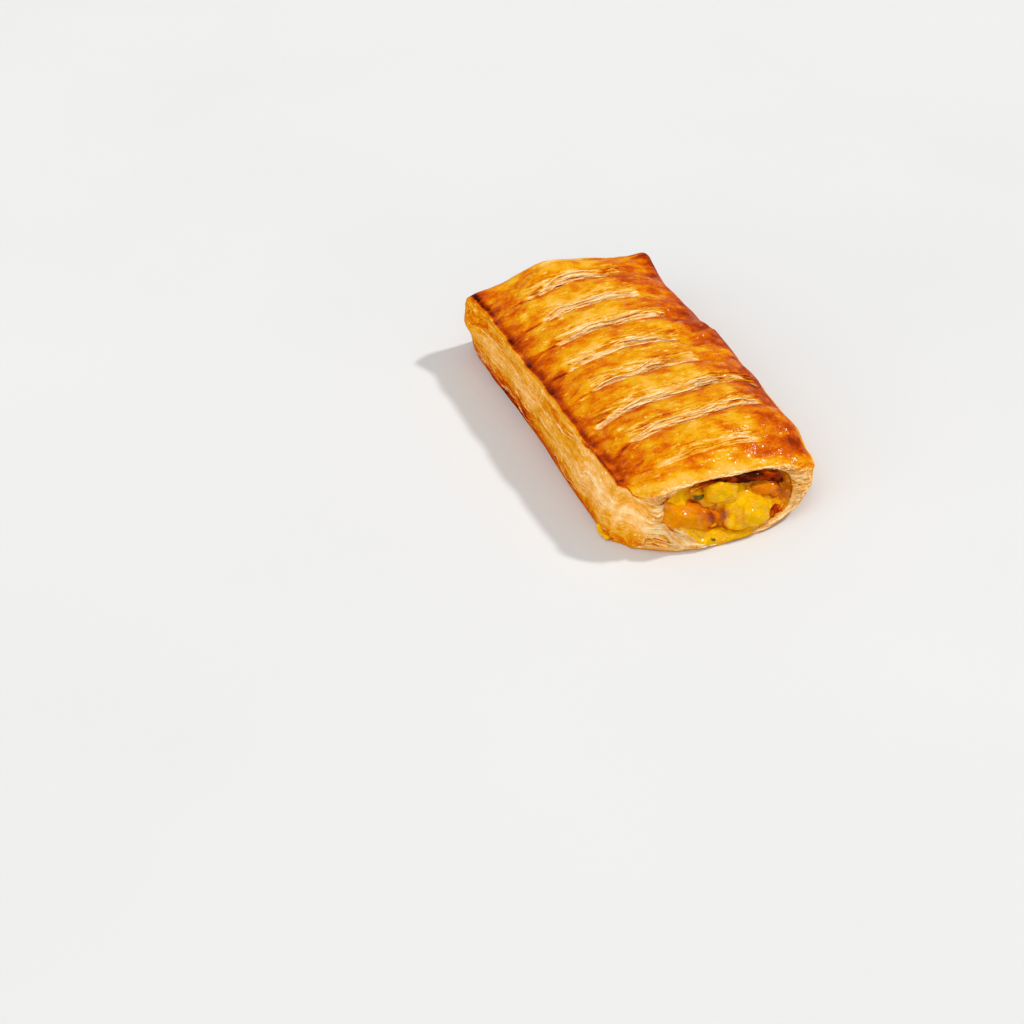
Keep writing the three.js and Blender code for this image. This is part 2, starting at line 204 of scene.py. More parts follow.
def hump(value, middle, half):
    """A bell that is 1 at middle and fades over half."""
    return np.exp(-(((value - middle) / half) ** 2))


def lattice(i, j, seed):
    """A fixed random number between -1 and 1 for each whole place."""
    mixed = (i * 374761393 + j * 668265263 + seed * 974711) & ALL_BITS
    mixed = ((mixed ^ (mixed >> 13)) * 1274126177) & ALL_BITS
    return 2 * (mixed ^ (mixed >> 16)) / ALL_BITS - 1.0


def noise(u, v, seed):
    """Smooth noise between -1 and 1, with about one bump to a unit."""
    u, v = np.broadcast_arrays(np.asarray(u, float), np.asarray(v, float))
    i, j = np.floor(u).astype(np.int64), np.floor(v).astype(np.int64)
    a, b = ease(u - i), ease(v - j)
    low = lerp(lattice(i, j, seed), lattice(i + 1, j, seed), a)
    high = lerp(lattice(i, j + 1, seed), lattice(i + 1, j + 1, seed), a)
    return lerp(low, high, b)


def rough(u, v, seed):
    """Noise with two finer octaves on it."""
    fine = 0.5 * noise(2 * u, 2 * v, seed + 1) + 0.25 * noise(4 * u, 4 * v, seed + 2)
    return (noise(u, v, seed) + fine) / 1.75


def creased(u, v, seed):
    """Puffed bands between sharp creases, from -1 in a crease to 1 on a band."""
    return 2 * np.abs(noise(u, v, seed)) ** 0.7 - 1


def lumpy(place, size, seed):
    """Rounded lumps of about a size in millimetres, from -1 to 1."""
    x, y, z = (place[..., axis] / size for axis in range(3))
    first = noise(x + 0.5 * y, z, seed)
    second = noise(y + 0.5 * z, x, seed + 1)
    third = noise(z + 0.5 * x, y, seed + 2)
    return (first + second + third) / 1.7


def wander(u, v, seed):
    """Slow waves between -1 and 1, as in the solids."""
    slow = np.sin(0.11 * u - 0.19 * v + 2.3 * seed)
    middle = np.sin(0.21 * u + 0.13 * v + 1.7 * seed)
    quick = np.sin(0.37 * u + 0.07 * v + 4.1 * seed)
    return (slow + middle + quick) / 3


# Outline of the sleeve, as in the solids

def by_end(y, values):
    """The front end's value in the front half, and the rear end's in the rear half."""
    return np.where(y < 0, values[FRONT], values[REAR])


def pinch(side, y):
    """How far the front right corner is pinched, from 0 to 1."""
    return smooth(-y, HALF_LENGTH - PINCH_LENGTH, HALF_LENGTH) if side > 0 else np.zeros_like(y)


def near_rear(y):
    return smooth(y, 0.75 * HALF_LENGTH, HALF_LENGTH)


def rim_x(side, y):
    """Where the lid's edge runs on a side."""
    taper = FRONT_TAPER[side] * smooth(-y, 0, HALF_LENGTH)
    flare = CORNER_FLARE[side] * near_rear(y)
    waist = WAIST_DEPTH * hump(y, WAIST_MIDDLE, WAIST_HALF_LENGTH)
    waist = (waist - HIP_REACH * hump(y, HIP_MIDDLE, HIP_HALF_LENGTH)) * (side > 0)
    corner = RIM_CORNER[side] * end_rounding(np.minimum(y, 0), RIM_CORNER_LENGTH)
    return side * (RIM_REACH[side] - taper + flare - waist - corner + EDGE_WANDER * wander(y, 0, 3 + side))


def rim_z(side, y):
    """How high the lid's edge runs on a side."""
    lift = REAR_LIFT[side] * near_rear(y) - PINCH_DROP * pinch(side, y)
    lift = lift - LIP_ROUNDING * end_rounding(y, LIP_ROUNDING_LENGTH)
    return RIM_HEIGHT + lift + EDGE_WANDER * wander(0, y, 6 + side)


def foot_x(side, y):
    """Where the wall on a side meets the base."""
    flare = FOOT_FLARE * smooth(-y, 0, 0.7 * HALF_LENGTH) if side < 0 else 0
    rounding = FOOT_ROUNDING[side] * smooth(-y, 0.85 * HALF_LENGTH, HALF_LENGTH) ** 1.5
    uneven = 0.7 * rough(0.06 * y, 0.4, 17 + side)
    return side * (HALF_BASE + flare - rounding - PINCH_INSET * pinch(side, y) + uneven)


def base_z(x, y):
    """How far the base is off the floor: at the pinched corner and along the rear."""
    corner = PINCH_LIFT * pinch(RIGHT, y) * smooth(x, 6, HALF_BASE)
    return corner + REAR_FOOT_LIFT * near_rear(y) ** 2


def crown_at(y):
    """How far the lid rises over its edges, less at the ends."""
    fall = by_end(y, LIP_FALL)
    return CROWN * (1 - fall * smooth(np.abs(y), HALF_LENGTH - LIP_FALL_LENGTH, HALF_LENGTH) ** 1.3)


def end_rounding(y, length):
    """How far the last stretch before an end has turned in, from 0 to 1."""
    return np.clip((np.abs(y) - HALF_LENGTH) / length + 1, 0, 1) ** 2.4


def bow(x, y, z):
    """Moves points back where the ends are bowed and the lid's lip is short."""
    sides = {end: np.where(x < 0, setback[LEFT], setback[RIGHT]) for end, setback in CORNER_SETBACK.items()}
    out = (x / HALF_BASE) ** 2
    up = np.clip(z / RIM_HEIGHT, 0, 1)
    back = by_end(y, sides) * out * (1 - CORNER_UPRIGHT * up)
    back = back + LIP_SETBACK * up * (1 - by_end(y, LIP_EASE) * out)
    back = back - by_end(y, {FRONT: BASE_REACH, REAR: 0}) * hump(x, 0, 28) * (1 - up) ** 1.5
    turn = CORNER_TURN * np.clip((-x - CORNER_TURN_START) / CORNER_TURN_LENGTH, 0, 1) ** 2.2
    back = back + by_end(y, {FRONT: turn, REAR: 0})
    share = smooth(np.abs(y), HALF_LENGTH - BOWED_LENGTH, HALF_LENGTH)
    return np.stack(np.broadcast_arrays(x, y - np.sign(y) * back * share, z), axis=-1)


# The lid, over x and v, where the slits run straight along x

def lid_warp(x, v):
    """How far the lid's points are pushed to the rear, which bends the slits."""
    lean = FRONT_LEAN * smooth(-v, 16, 40) + MIDDLE_LEAN * hump(v, 0, 14)
    lean = lean * np.clip(x / 26, 0, 1) * (1 - smooth(x, 27, 36))
    stray = 1.2 * noise(0.05 * x, 0.06 * v, 11) * (1 - smooth(np.abs(x), 26, 35))
    return (lean + stray) * (1 - smooth(np.abs(v), 64, HALF_LENGTH))


def slit_place(x, v):
    """A point's slit, its distance behind the slit's valley, and the slit's strength and slope there."""
    number = np.clip(np.floor((v - VALLEYS[0] + SLIT_AHEAD) / SLIT_PITCH), 0, SLIT_COUNT - 1).astype(int)
    behind = v - VALLEYS[number] - 0.35 * noise(0.22 * x, 2.3 * number, 12)
    span = np.abs(x) / np.where(x < 0, SLIT_LEFT_END[number], SLIT_RIGHT_END[number])
    lens = np.clip(1 - span**2.4, 0, 1)
    strength = SLIT_STRENGTH[number] * smooth(lens, 0.0, 0.6)
    strength = strength * (1 + 0.3 * noise(0.07 * x, 5.7 * number, 13))
    slope = SLIT_SLOPE * (0.12 + 0.88 * lens) * (1 + 0.45 * noise(0.11 * x, 3.3 * number, 15))
    return number, behind, strength, slope


def slit_layer(x, number, behind, slope):
    """Which of the slit's stacked layers shows, counted up from the lid's face to the valley."""
    down = np.clip(1 - behind / slope, 0, 1)
    return down, down * SLIT_LAYERS + 0.6 * noise(0.09 * x, 0.8 * behind + 4 * number, 14)


def slit_depth(x, v):
    """How deep a slit is: in steps on the side that faces the front, and steep on the other."""
    number, behind, strength, slope = slit_place(x, v)
    down, layer = slit_layer(x, number, behind, slope)
    step = np.floor(layer) + smooth(layer - np.floor(layer), 0.5, 0.95)
    flaky = lerp(down, np.clip(step / SLIT_LAYERS, 0, 1), 0.75 * smooth(slope, *SLIT_STEPPED))
    steep = np.clip(1 + behind / SLIT_DROP, 0, 1) ** 0.7
    return SLIT_DEPTH * np.minimum(strength, 1.05) * np.where(behind > 0, flaky, steep)


def pale_at(x, v):
    """1 where a slit's cut layers show, with little glaze."""
    _, behind, strength, slope = slit_place(x, v)
    torn = behind + 1.4 * noise(0.1 * x, 1.1 * v, 16) + 0.8 * noise(0.3 * x, 1.8 * v, 17)
    band = smooth(behind, -0.8, 0.0) * (1 - smooth(torn, 0.75 * slope, 1.05 * slope))
    return band * smooth(strength, 0.1, 0.45)


def frayed_at(x, v):
    """1 just behind a slit, where the glaze is torn in streaks."""
    _, behind, strength, slope = slit_place(x, v)
    return smooth(behind, 0.4 * slope, slope) * (1 - smooth(behind, 5.0, 8.5)) * smooth(strength, 0.1, 0.5)


def tail_at(x, v):
    """1 along the thin crease in which a slit runs out at its left end."""
    number, behind, _, _ = slit_place(x, v)
    span = -x / SLIT_LEFT_END[number]
    ends = smooth(span, 0.72, 0.92) * (1 - smooth(span, 1.1, 1.3))
    ends = ends * np.minimum(1, 1.6 * SLIT_STRENGTH[number])
    return ends * hump(behind, 0.1, 0.65) * smooth(x - rim_x(LEFT, v), 3, 9)


def wrinkled_at(x, v):
    """1 on the wrinkled rear left of the lid."""
    return hump(x, -27, 13) * hump(v, 60, 15)


def gouged_at(x, v):
    """1 in the short dark creases."""
    deep = 0
    for gouge_x, gouge_y in GOUGES:
        along = (x - gouge_x) + GOUGE_LEAN * (v - gouge_y)
        across = (v - gouge_y) - GOUGE_LEAN * (x - gouge_x)
        deep = deep + hump(along, 0, GOUGE_HALF_LENGTH) * hump(across, 0, GOUGE_HALF_WIDTH)
    return deep


def strip_swell(x, v):
    """How far the strips between the slits have puffed up."""
    phase = (v - SLIT_MIDDLE) / SLIT_PITCH
    in_strip = 2 * (phase - np.floor(phase)) - 1
    return STRIP_SWELL * (1 - in_strip * in_strip) * (1 - smooth(np.abs(x), 23, 35))


def lid_folds(x, v):
    """The dimple and the folds where the lid has sunk on its right."""
    dimple = DIMPLE_DEPTH * hump(x, DIMPLE_X, 4.5) * hump(v, DIMPLE_Y, 3.6)
    crease = 1.0 * hump(v - 0.35 * (x - 30), 9, 1.5) * smooth(x, 20, 26)
    ridge = 0.9 * hump(v - 0.25 * (x - 28), 4.5, 1.6) * smooth(x, 19, 25)
    second = 0.7 * hump(v - 0.3 * (x - 30), -9, 1.2) * smooth(x, 16, 24)
    return ridge + second - dimple - crease


def lid_height(x, v):
    """The lid's height: arch, strips and slits, uneven rear edge and fine relief."""
    right, left = rim_x(RIGHT, v), rim_x(LEFT, v)
    across = (right - x) / (right - left)
    edge = lerp(rim_z(RIGHT, v), rim_z(LEFT, v), across)
    arch = 1 - np.abs(np.clip(2 * across - 1, -1, 1)) ** CROWN_POWER
    z = edge + arch * (crown_at(v) + LID_WANDER * wander(x, v, 1)) + strip_swell(x, v) - slit_depth(x, v)
    rear = 2.2 * hump(x, -7, 11) - 1.2 * hump(x, 18, 9) + 2.8 * hump(x, 35, 5)
    rear = rear - 1.5 * hump(x, -25, 7) * (x - left > 2)
    z += rear * smooth(v, 50, 72) + 1.2 * hump(x, 33, 6) * hump(v, 3, 13)
    blisters = 0.4 * rough(0.10 * x, 0.13 * v, 21) + 0.16 * rough(0.4 * x, 0.5 * v, 22)
    frayed = 0.25 * creased(0.05 * x, 0.9 * v, 23) * frayed_at(x, v)
    wrinkles = 0.45 * creased(0.16 * (x + v), 0.42 * (v - x), 24) * wrinkled_at(x, v)
    fine = blisters + frayed + wrinkles + lid_folds(x, v)
    z += smooth(arch, 0.0, 0.25) * fine - 0.5 * (gouged_at(x, v) + tail_at(x, v))
    groove = 0.75 * hump(x - left, 1.9, 0.9) * (1 - smooth(np.abs(v), 74, HALF_LENGTH))
    rounding = RIM_DROP * np.clip(1 - (right - x) / RIM_ROUNDING, 0, 1) ** 2
    return z - groove - rounding


def lid_place(x, v):
    """Points of the lid, with its right rim rounded off."""
    rounding = RIM_INSET * np.clip(1 - (rim_x(RIGHT, v) - x) / RIM_ROUNDING, 0, 1) ** 2
    return bow(x - rounding, v + lid_warp(x, v), lid_height(x, v))


def lid_bake_and_shade(x, v):
    """How far the lid is baked, with painted shade in the slits: 0 pale, 0.5 golden, 1 nearly black."""
    number, behind, strength, slope = slit_place(x, v)
    from_left, from_right = x - rim_x(LEFT, v), rim_x(RIGHT, v) - x
    bake = 0.46 + 0.08 * rough(0.06 * x, 0.09 * v, 41) + 0.07 * rough(0.2 * x, 0.3 * v, 42)
    # Browner along the left rim, at the front left and to the right
    toasted = 0.12 * np.exp(-from_left / 3) + 0.23 * np.exp(-from_left / 15)
    bake += toasted * (1 - 0.5 * smooth(-v, 22, 55)) + 0.1 * smooth(-v, 58, 70) * (1 - smooth(x, 5, 24))
    browned = 0.16 * smooth(x, 2, 28) + 0.2 * np.exp(-from_right / 8) * (1 - 0.55 * smooth(-v, 48, 68))
    bake += browned - 0.02 * smooth(v, 35, 76)
    # Dark places: the front right corner, the dimple, the rear left corner, the rear edge and the wrinkles
    bake += 0.09 * hump(x, 30, 10) * hump(v, -76, 6) + 0.12 * hump(x, 28, 8) * hump(v, 18, 9)
    bake += 0.03 * hump(x, -39, 6) * hump(v, 78, 7) + 0.10 * hump(v, 72.5, 1.6) * hump(x, -6, 12)
    bake += 0.10 * wrinkled_at(x, v) * (0.3 + noise(0.3 * (x + v), 0.7 * (v - x), 48))
    # Paler where the glaze is torn behind a slit, and along the front lip
    streaks = smooth(noise(0.05 * x, 1.5 * v, 43) + 0.35 * noise(0.14 * x, 3 * v, 44), -0.1, 0.5)
    lip = 1 - smooth(v + HALF_LENGTH, 0.6, 5.0 + 2.8 * noise(0.13 * x, 0.5, 49))
    bake -= 0.15 * frayed_at(x, v) * streaks + 0.2 * lip
    # The slits: pale layers with darker lines between them, painted shade that deepens toward the valley,
    # and a dark line of painted shade along the valley
    down, layer = slit_layer(x, number, behind, slope)
    line = hump(layer - np.floor(layer), 0.62, 0.26) * smooth(noise(0.13 * x, 2.1 * layer, 45), -0.5, 0.3)
    line = line * smooth(slope, *SLIT_STEPPED)
    bake = lerp(bake, 0.02 + 0.62 * line + 0.08 * down, pale_at(x, v))
    # Painted shade: a dark broken line along each slit's valley
    valley = hump(behind, -0.15, 0.55) * smooth(noise(0.16 * x, 1.7 * number, 46), -0.35, 0.25)
    bake += 0.1 * hump(behind, -2.6, 1.3) * smooth(strength, 0.2, 0.6)
    bake += 0.55 * valley * smooth(strength, 0.2, 0.6) + 0.16 * gouged_at(x, v) + 0.26 * tail_at(x, v)
    # A dark line inside the left rim, and the rim's own pale edge
    rim = hump(from_left, 1.7, 1.0) * (1 + 0.35 * noise(0.15 * v, 0, 47)) * (1 - 0.6 * smooth(-v, 30, 60))
    return bake + 0.13 * rim - 0.3 * (1 - smooth(from_left, 0.1, 1.0)) * smooth(v, -44, -30)


# The walls and the ends

def waves(y, t):
    """How far a wall's layers wander up and down, most where the front is ruffled."""
    return 2.4 * rough(0.06 * y, 2.2 * t, 66) + 1.3 * smooth(-y, 0, 45) * noise(0.26 * y, 1.4 * t, 67)


def ruffled(y):
    """1 at the front of a wall, where upright wrinkles cross the layers."""
    return smooth(-y, 30, 58)


def wall_point(side, t, y):
    """Points of a wall, from its foot at t 0 to the rim at t 1."""
    depth = by_end(y, {end: corner[side] for end, corner in END_ROUNDING.items()})
    rounded = depth * end_rounding(y, by_end(y, END_ROUNDING_LENGTH))
    foot_share, middle_share = (0.45, 1.0) if side < 0 else (1.2, 0.5)
    rounded = rounded * lerp(foot_share, middle_share, smooth(t, 0, 0.35)) * (1 - smooth(t, 0.7, 1.0))
    foot = foot_x(side, y)
    z = lerp(base_z(foot, y), rim_z(side, y), t)
    inner = np.sin(np.pi * np.clip(t, 0, 1)) ** 0.6
    wavy = z + waves(y, t)
    layers = 0.3 * creased(0.028 * y, 0.42 * wavy, 52 + side)
    layers += 0.2 * creased(0.07 * y, 0.95 * wavy, 54 + side)
    layers += 0.35 * rough(0.12 * y, 0.2 * z, 58 + side)
    layers += 0.25 * ruffled(y) * creased(0.3 * y + 0.12 * z, 0.09 * z - 0.06 * y, 68 + side)
    swell = 1.5 * hump(t, 0.3, 0.22) * rough(0.03 * y, 0.3, 56 + side)
    swell = swell + (4.6 * hump(t, 0.76, 0.28) * smooth(y, 46, 74) if side < 0 else 0)
    out = WALL_BULGE * np.sin(np.pi * t**0.8) + inner * (layers + swell) - rounded
    if side > 0:
        near_rim = np.clip(1 - (1 - t) * RIM_HEIGHT / RIM_ROUNDING, 0, 1) ** 2
        out, z = out - RIM_INSET * near_rim, z - RIM_DROP * near_rim
    return bow(lerp(foot, rim_x(side, y), t) + side * out, y, z)


def wall_bake(side, t, y):
    """How far a wall is baked: more at its foot and under the rim, less to the front."""
    height = t * RIM_HEIGHT
    wavy = height + waves(y, t)
    bake = 0.37 + 0.08 * noise(0.08 * y, 1.1 * wavy, 61 + side)
    bake += 0.13 * rough(0.08 * y, 0.17 * height, 62 + side)
    bake += 0.09 * ruffled(y) * rough(0.3 * y + 0.14 * height, 0.1 * height - 0.07 * y, 69 + side)
    low = 1 - smooth(t, 0.02, 0.5 + 0.16 * noise(0.06 * y, 0.7, 63))
    bake += low * (0.34 + 0.14 * hump(y, 28, 34)) - 0.17 * smooth(-y, 20, 65) - 0.12 * hump(t, 0.93, 0.06)
    if side > 0:
        return bake + 0.36 * smooth(t, 0.55, 0.95)
    bake += 0.14 * smooth(t, 0.55, 0.85) + 0.1 * smooth(t, 0.72, 0.95) * smooth(y, 40, 76)
    drip = smooth(t, 0.90 - 0.10 * np.clip(noise(0.22 * y, 0.2, 64), 0, 1), 0.985) * smooth(-y, 25, 45)
    return bake + 0.45 * drip**1.6


def mouth_power(end, across, up):
    """Sets how blunt the mouth's outline is, most at the front's upper right."""
    return np.where((across > 0) & (up > 0) & (end == FRONT), BLUNT_POWER, MOUTH_POWER)


def mouth_point(end, angle, inset=0.0):
    """Points of a mouth's edge, at angles around it."""
    x = MOUTH_SHIFT[end] + (MOUTH_HALF_WIDTH[end] - inset) * np.cos(angle)
    lens = np.sign(np.sin(angle)) * np.abs(np.sin(angle)) ** mouth_power(end, np.cos(angle), np.sin(angle))
    z = MOUTH_HEIGHT + MOUTH_SLOPE[end] * x + (MOUTH_HALF_HEIGHT - inset) * lens
    return np.stack([x, end * (MOUTH_Y[end] - MOUTH_LEAN[end] * (z - MOUTH_HEIGHT)), z], axis=-1)


def tunnel_point(angle, y, inset=0.0):
    """Points of the tunnel between the mouths, at angles around it."""
    x = (MOUTH_HALF_WIDTH[FRONT] - inset) * np.cos(angle)
    z = MOUTH_HEIGHT + (MOUTH_HALF_HEIGHT - inset) * np.sin(angle)
    return np.stack([x, np.full_like(x, y), z], axis=-1)


def face_point(end, share, outer, mouth):
    """Points of an end face, from the outer edge at share 0 to the mouth's edge at share 1."""
    place = lerp(outer, mouth, share[..., None])
    x, z = place[..., 0], place[..., 2]
    across = (x - MOUTH_SHIFT[end]) / MOUTH_HALF_WIDTH[end]
    from_seam = z - MOUTH_HEIGHT - MOUTH_SLOPE[end] * x
    lens = MOUTH_HALF_HEIGHT * np.clip(1 - across**2, 0, 1) ** (mouth_power(end, across, from_seam) / 2)
    level = np.abs(from_seam) - lens + 40 * (from_seam < 0) + 0.9 * rough(0.1 * x, 0.3, 70 + end)
    inner = np.sin(np.pi * np.clip(share, 0, 1)) ** 0.5 * smooth(np.abs(from_seam), 0, 1.5)
    inner = inner * lerp(1.0, smooth(share, 0.0, 0.4), smooth(np.abs(across), 0.9, 1.15))
    layers = 0.5 * creased(0.05 * x, 0.5 * level, 71 + end) + 0.3 * creased(0.12 * x, 1.2 * level, 72 + end)
    low = 1 - smooth(z, 8, 14)
    hollows = 1.2 * smooth(noise(0.14 * x, 0.7 * level, 73 + end), 0.3, 0.7) * low
    stack = hump(x, -24, 9) * low * creased(0.07 * x, 0.7 * level, 77)
    above = smooth(from_seam, -3, 4)
    beside = smooth(np.abs(across), lerp(0.15, 0.8, above), lerp(0.6, 1.1, above))
    roll = lerp(lerp(0.6, 1.8, above), np.where(across < 0, 2.8, lerp(1.6, 2.6, above)), beside)
    place[..., 1] += end * (inner * (layers + stack - hollows) + roll * np.sin(np.pi * share**0.8))
    return place, level, hollows


def face_bake_and_shade(end, share, level, hollows, place):
    """How far an end is baked, with painted shade in its hollows and sauce soaked in around the mouth."""
    x, z = place[..., 0], place[..., 2]
    bake = FACE_BAKE[end] + 0.14 * noise(0.07 * x, 1.1 * level, 74 + end)
    bake += 0.08 * rough(0.12 * x, 0.3 * z, 75)
    # Painted shade darkens the hollows between the layers
    bake += 0.16 * hollows + 0.12 * (1 - smooth(z, 0.5, 5)) * (1 - smooth(share, 0.0, 0.35))
    top = smooth(z, 17, 21)
    soaked = np.maximum(top, 1 - smooth(z, 5, 11))
    stain = 0.26 + 0.26 * top + 0.14 * noise(0.2 * x, 0.5, 76)
    return bake + smooth(share, lerp(0.72, 0.45, soaked), 1.0) * stain


# The dough sheet

def shares(count):
    return np.arange(count) / count


def station_rows():
    """Places along the sleeve, close together at the slits and at the ends."""
    before, after = SLIT_DROP + 0.8, SLIT_SLOPE + 1.4
    front, rear = VALLEYS[0] - before, VALLEYS[-1] + after
    rows = [-HALF_LENGTH + (front + HALF_LENGTH) * shares(END_ROWS) ** 1.7]
    for number, valley in enumerate(VALLEYS):
        rows.append(valley - before + (before + after) * shares(SLIT_ROWS))
        if number + 1 < SLIT_COUNT:
            rows.append(valley + after + (SLIT_PITCH - before - after) * shares(STRIP_ROWS))
    rows.append(HALF_LENGTH - (HALF_LENGTH - rear) * (1 - np.linspace(0, 1, 9)) ** 1.7)
    return np.concatenate(rows)


def column_shares():
    """Shares across the lid from right to left, and up a wall, both closer at the rims."""
    rim, top = 0.03, 0.92
    wide, narrow = (1 - 2 * rim) * shares(LID_COLUMNS), rim * shares(RIM_COLUMNS)
    lid = np.concatenate([narrow, rim + wide, 1 - rim + narrow])
    wall = np.concatenate([top * shares(WALL_COLUMNS - 8), top + (1 - top) * shares(8)])
    return lid, wall


def base_sheet(y, t):
    """The underside: its points, and how they are baked, glazed, layered and streaked."""
    left_foot, right_foot = (wall_point(side, np.zeros(1), y)[..., 0] for side in (LEFT, RIGHT))
    x = lerp(left_foot, right_foot, t)
    even = np.ones_like(x)
    bake = 0.42 + 0.1 * noise(0.1 * x, 0.1 * y, 81)
    return bow(x, y * even, base_z(x, y)), bake, 0.1 * even, 0.3 * even, np.stack([x, y * even], -1)


def wall_sheet(side, y, t):
    """A wall: its points, and how they are baked, glazed, layered and streaked."""
    even = np.ones_like(y * t)
    if side > 0:
        glaze = 0.08 + 0.8 * smooth(t, 0.6, 0.95)
        grain = 0.6 - 0.4 * smooth(t, 0.6, 0.95)
    else:
        glaze = 0.08 + 0.6 * smooth(t, 0.93, 0.99) * smooth(-y, 25, 45)
        grain = (0.42 - 0.28 * smooth(t, 0.94, 0.99)) * (1 - 0.25 * ruffled(y))
    flow = np.stack([y * even, t * RIM_HEIGHT * even + waves(y, t)], -1)
    return wall_point(side, t, y), wall_bake(side, t, y), glaze * even, grain * even, flow


def lid_sheet(y, t):
    """The lid: its points, and how they are baked, glazed, layered and streaked."""
    x = lerp(rim_x(RIGHT, y), rim_x(LEFT, y), t)
    v = np.broadcast_to(y, x.shape)
    place = lid_place(x, v)
    pale = pale_at(x, v)
    glaze = 1 - 0.65 * pale + 1.4 * hump(x, DIMPLE_X, 6) * hump(v, DIMPLE_Y, 6)
    grain = np.maximum(np.maximum(pale, 0.7 * frayed_at(x, v)), 0.06)
    return place, lid_bake_and_shade(x, v), glaze, grain, np.stack([x, v + place[..., 2]], -1)


def ring_angles(base_t, up_t, lid_t, down_t):
    """Angles of a ring's points around a mouth: along the base, up a wall, over the lid and down a wall."""
    left_foot, right_foot = 180 + CORNER_ANGLE, 360 - CORNER_ANGLE
    right_rim, left_rim = 360 + CORNER_ANGLE, 540 - CORNER_ANGLE
    return np.radians(np.concatenate([
        lerp(left_foot, right_foot, base_t),
        lerp(right_foot, right_rim, up_t),
        lerp(right_rim, left_rim, lid_t),
        lerp(left_foot + 360, left_rim, down_t),
    ]))


def dough_sheet():
    """Rings of the whole sleeve, with how each point is baked, glazed, layered and streaked."""
    y = station_rows()[:, None]
    lid_t, up_t = column_shares()
    base_t = shares(BASE_COLUMNS)
    down_t = np.concatenate([[1.0], up_t[:0:-1]])
    sheets = [
        base_sheet(y, base_t[None]), wall_sheet(RIGHT, y, up_t[None]),
        lid_sheet(y, lid_t[None]), wall_sheet(LEFT, y, down_t[None]),
    ]
    outside = [np.concatenate(pile, axis=1) for pile in zip(*sheets)]
    place, bake = outside[:2]
    angle = ring_angles(base_t, up_t, lid_t, down_t)
    rear = end_face(REAR, place[-1], angle, bake[-1])
    front = end_face(FRONT, place[0], angle, bake[0])
    depths = TUNNEL_HALF_LENGTH * (1 - (2 * np.arange(TUNNEL_RINGS) + 1) / TUNNEL_RINGS)
    tunnel = np.stack([tunnel_point(angle, depth) for depth in depths])
    inside = [np.full(tunnel.shape[:2], value) for value in (0.4, 0.3, 0.5)]
    parts = [outside, rear, (tunnel, *inside, tunnel[..., :2]), [part[::-1] for part in front]]
    return [np.concatenate(pile) for pile in zip(*parts)]


def end_face(end, outer, angle, outer_bake):
    """One end of the sleeve, baked at its outer edge as the wall or the lid that it joins."""
    share = ((np.arange(FACE_RINGS) + 1) / FACE_RINGS)[:, None] * np.ones((1, len(angle)))
    place, level, hollows = face_point(end, share, outer[None], mouth_point(end, angle)[None])
    beside = smooth(np.abs(place[..., 0] - MOUTH_SHIFT[end]) / MOUTH_HALF_WIDTH[end], 0.95, 1.2)
    own = smooth(share, 0.0, lerp(0.12, 0.45, beside))
    bake = lerp(outer_bake[None], face_bake_and_shade(end, share, level, hollows, place), own)
    glaze = 0.08 + 0.3 * smooth(share, 0.85, 1.0)
    return place, bake, glaze, 0.5 + 0.5 * smooth(share, 0.0, 0.35), np.stack([place[..., 0], level], -1)


# Making pieces

def start(name):
    """Names the piece that an operator has just added."""
    piece = bpy.context.object
    piece.name = name
    return piece


def rolled_sheet(name, rings, meets_itself, **marks):
    """A flat grid is rolled up: each of its rows becomes one ring, and its edges are sewn together."""
    around = rings.shape[1]
    count = len(rings) if meets_itself else len(rings) - 1
    bpy.ops.object.select_all(action="DESELECT")
    bpy.ops.mesh.primitive_grid_add(x_subdivisions=around, y_subdivisions=count, size=1, calc_uvs=False)
    piece = start(name)
    row = np.arange(count + 1) % len(rings)
    column = np.arange(around + 1) % around
    piece.data.vertices.foreach_set("co", ((rings + CENTRE) * MM)[row][:, column].ravel())
    for mark, values in marks.items():
        put_mark(piece, mark, values[row][:, column])
    sew()
    return piece


def sew():
    """Joins the active piece's points that lie together, turns its faces outwards and shades them smooth."""
    bpy.ops.object.mode_set(mode="EDIT")
    bpy.ops.mesh.select_all(action="SELECT")
    bpy.ops.mesh.remove_doubles(threshold=1e-7)
    bpy.ops.mesh.normals_make_consistent(inside=False)
    bpy.ops.object.mode_set(mode="OBJECT")
    bpy.ops.object.shade_smooth()


def put_mark(piece, mark, values):
    """Writes one number, or one pair of numbers, to each point of a piece."""
    values = np.asarray(values, float)
    count = len(piece.data.vertices)
    if values.size == count:
        piece.data.attributes.new(mark, "FLOAT", "POINT").data.foreach_set("value", values.ravel())
    else:
        vectors = np.zeros((count, 3))
        vectors[:, :2] = values.reshape(count, 2)
        piece.data.attributes.new(mark, "FLOAT_VECTOR", "POINT").data.foreach_set("vector", vectors.ravel())


def finish_piece(piece, material, slot, node):
    piece.data.materials.clear()
    piece.data.materials.append(material)
    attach(piece, "root")
    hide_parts(node)


def points_of(piece):
    places = np.empty(3 * len(piece.data.vertices))
    piece.data.vertices.foreach_get("co", places)
    return places.reshape(-1, 3)


def move_points(piece, places):
    piece.data.vertices.foreach_set("co", ((places + CENTRE) * MM).ravel())
    piece.data.update()


# The filling

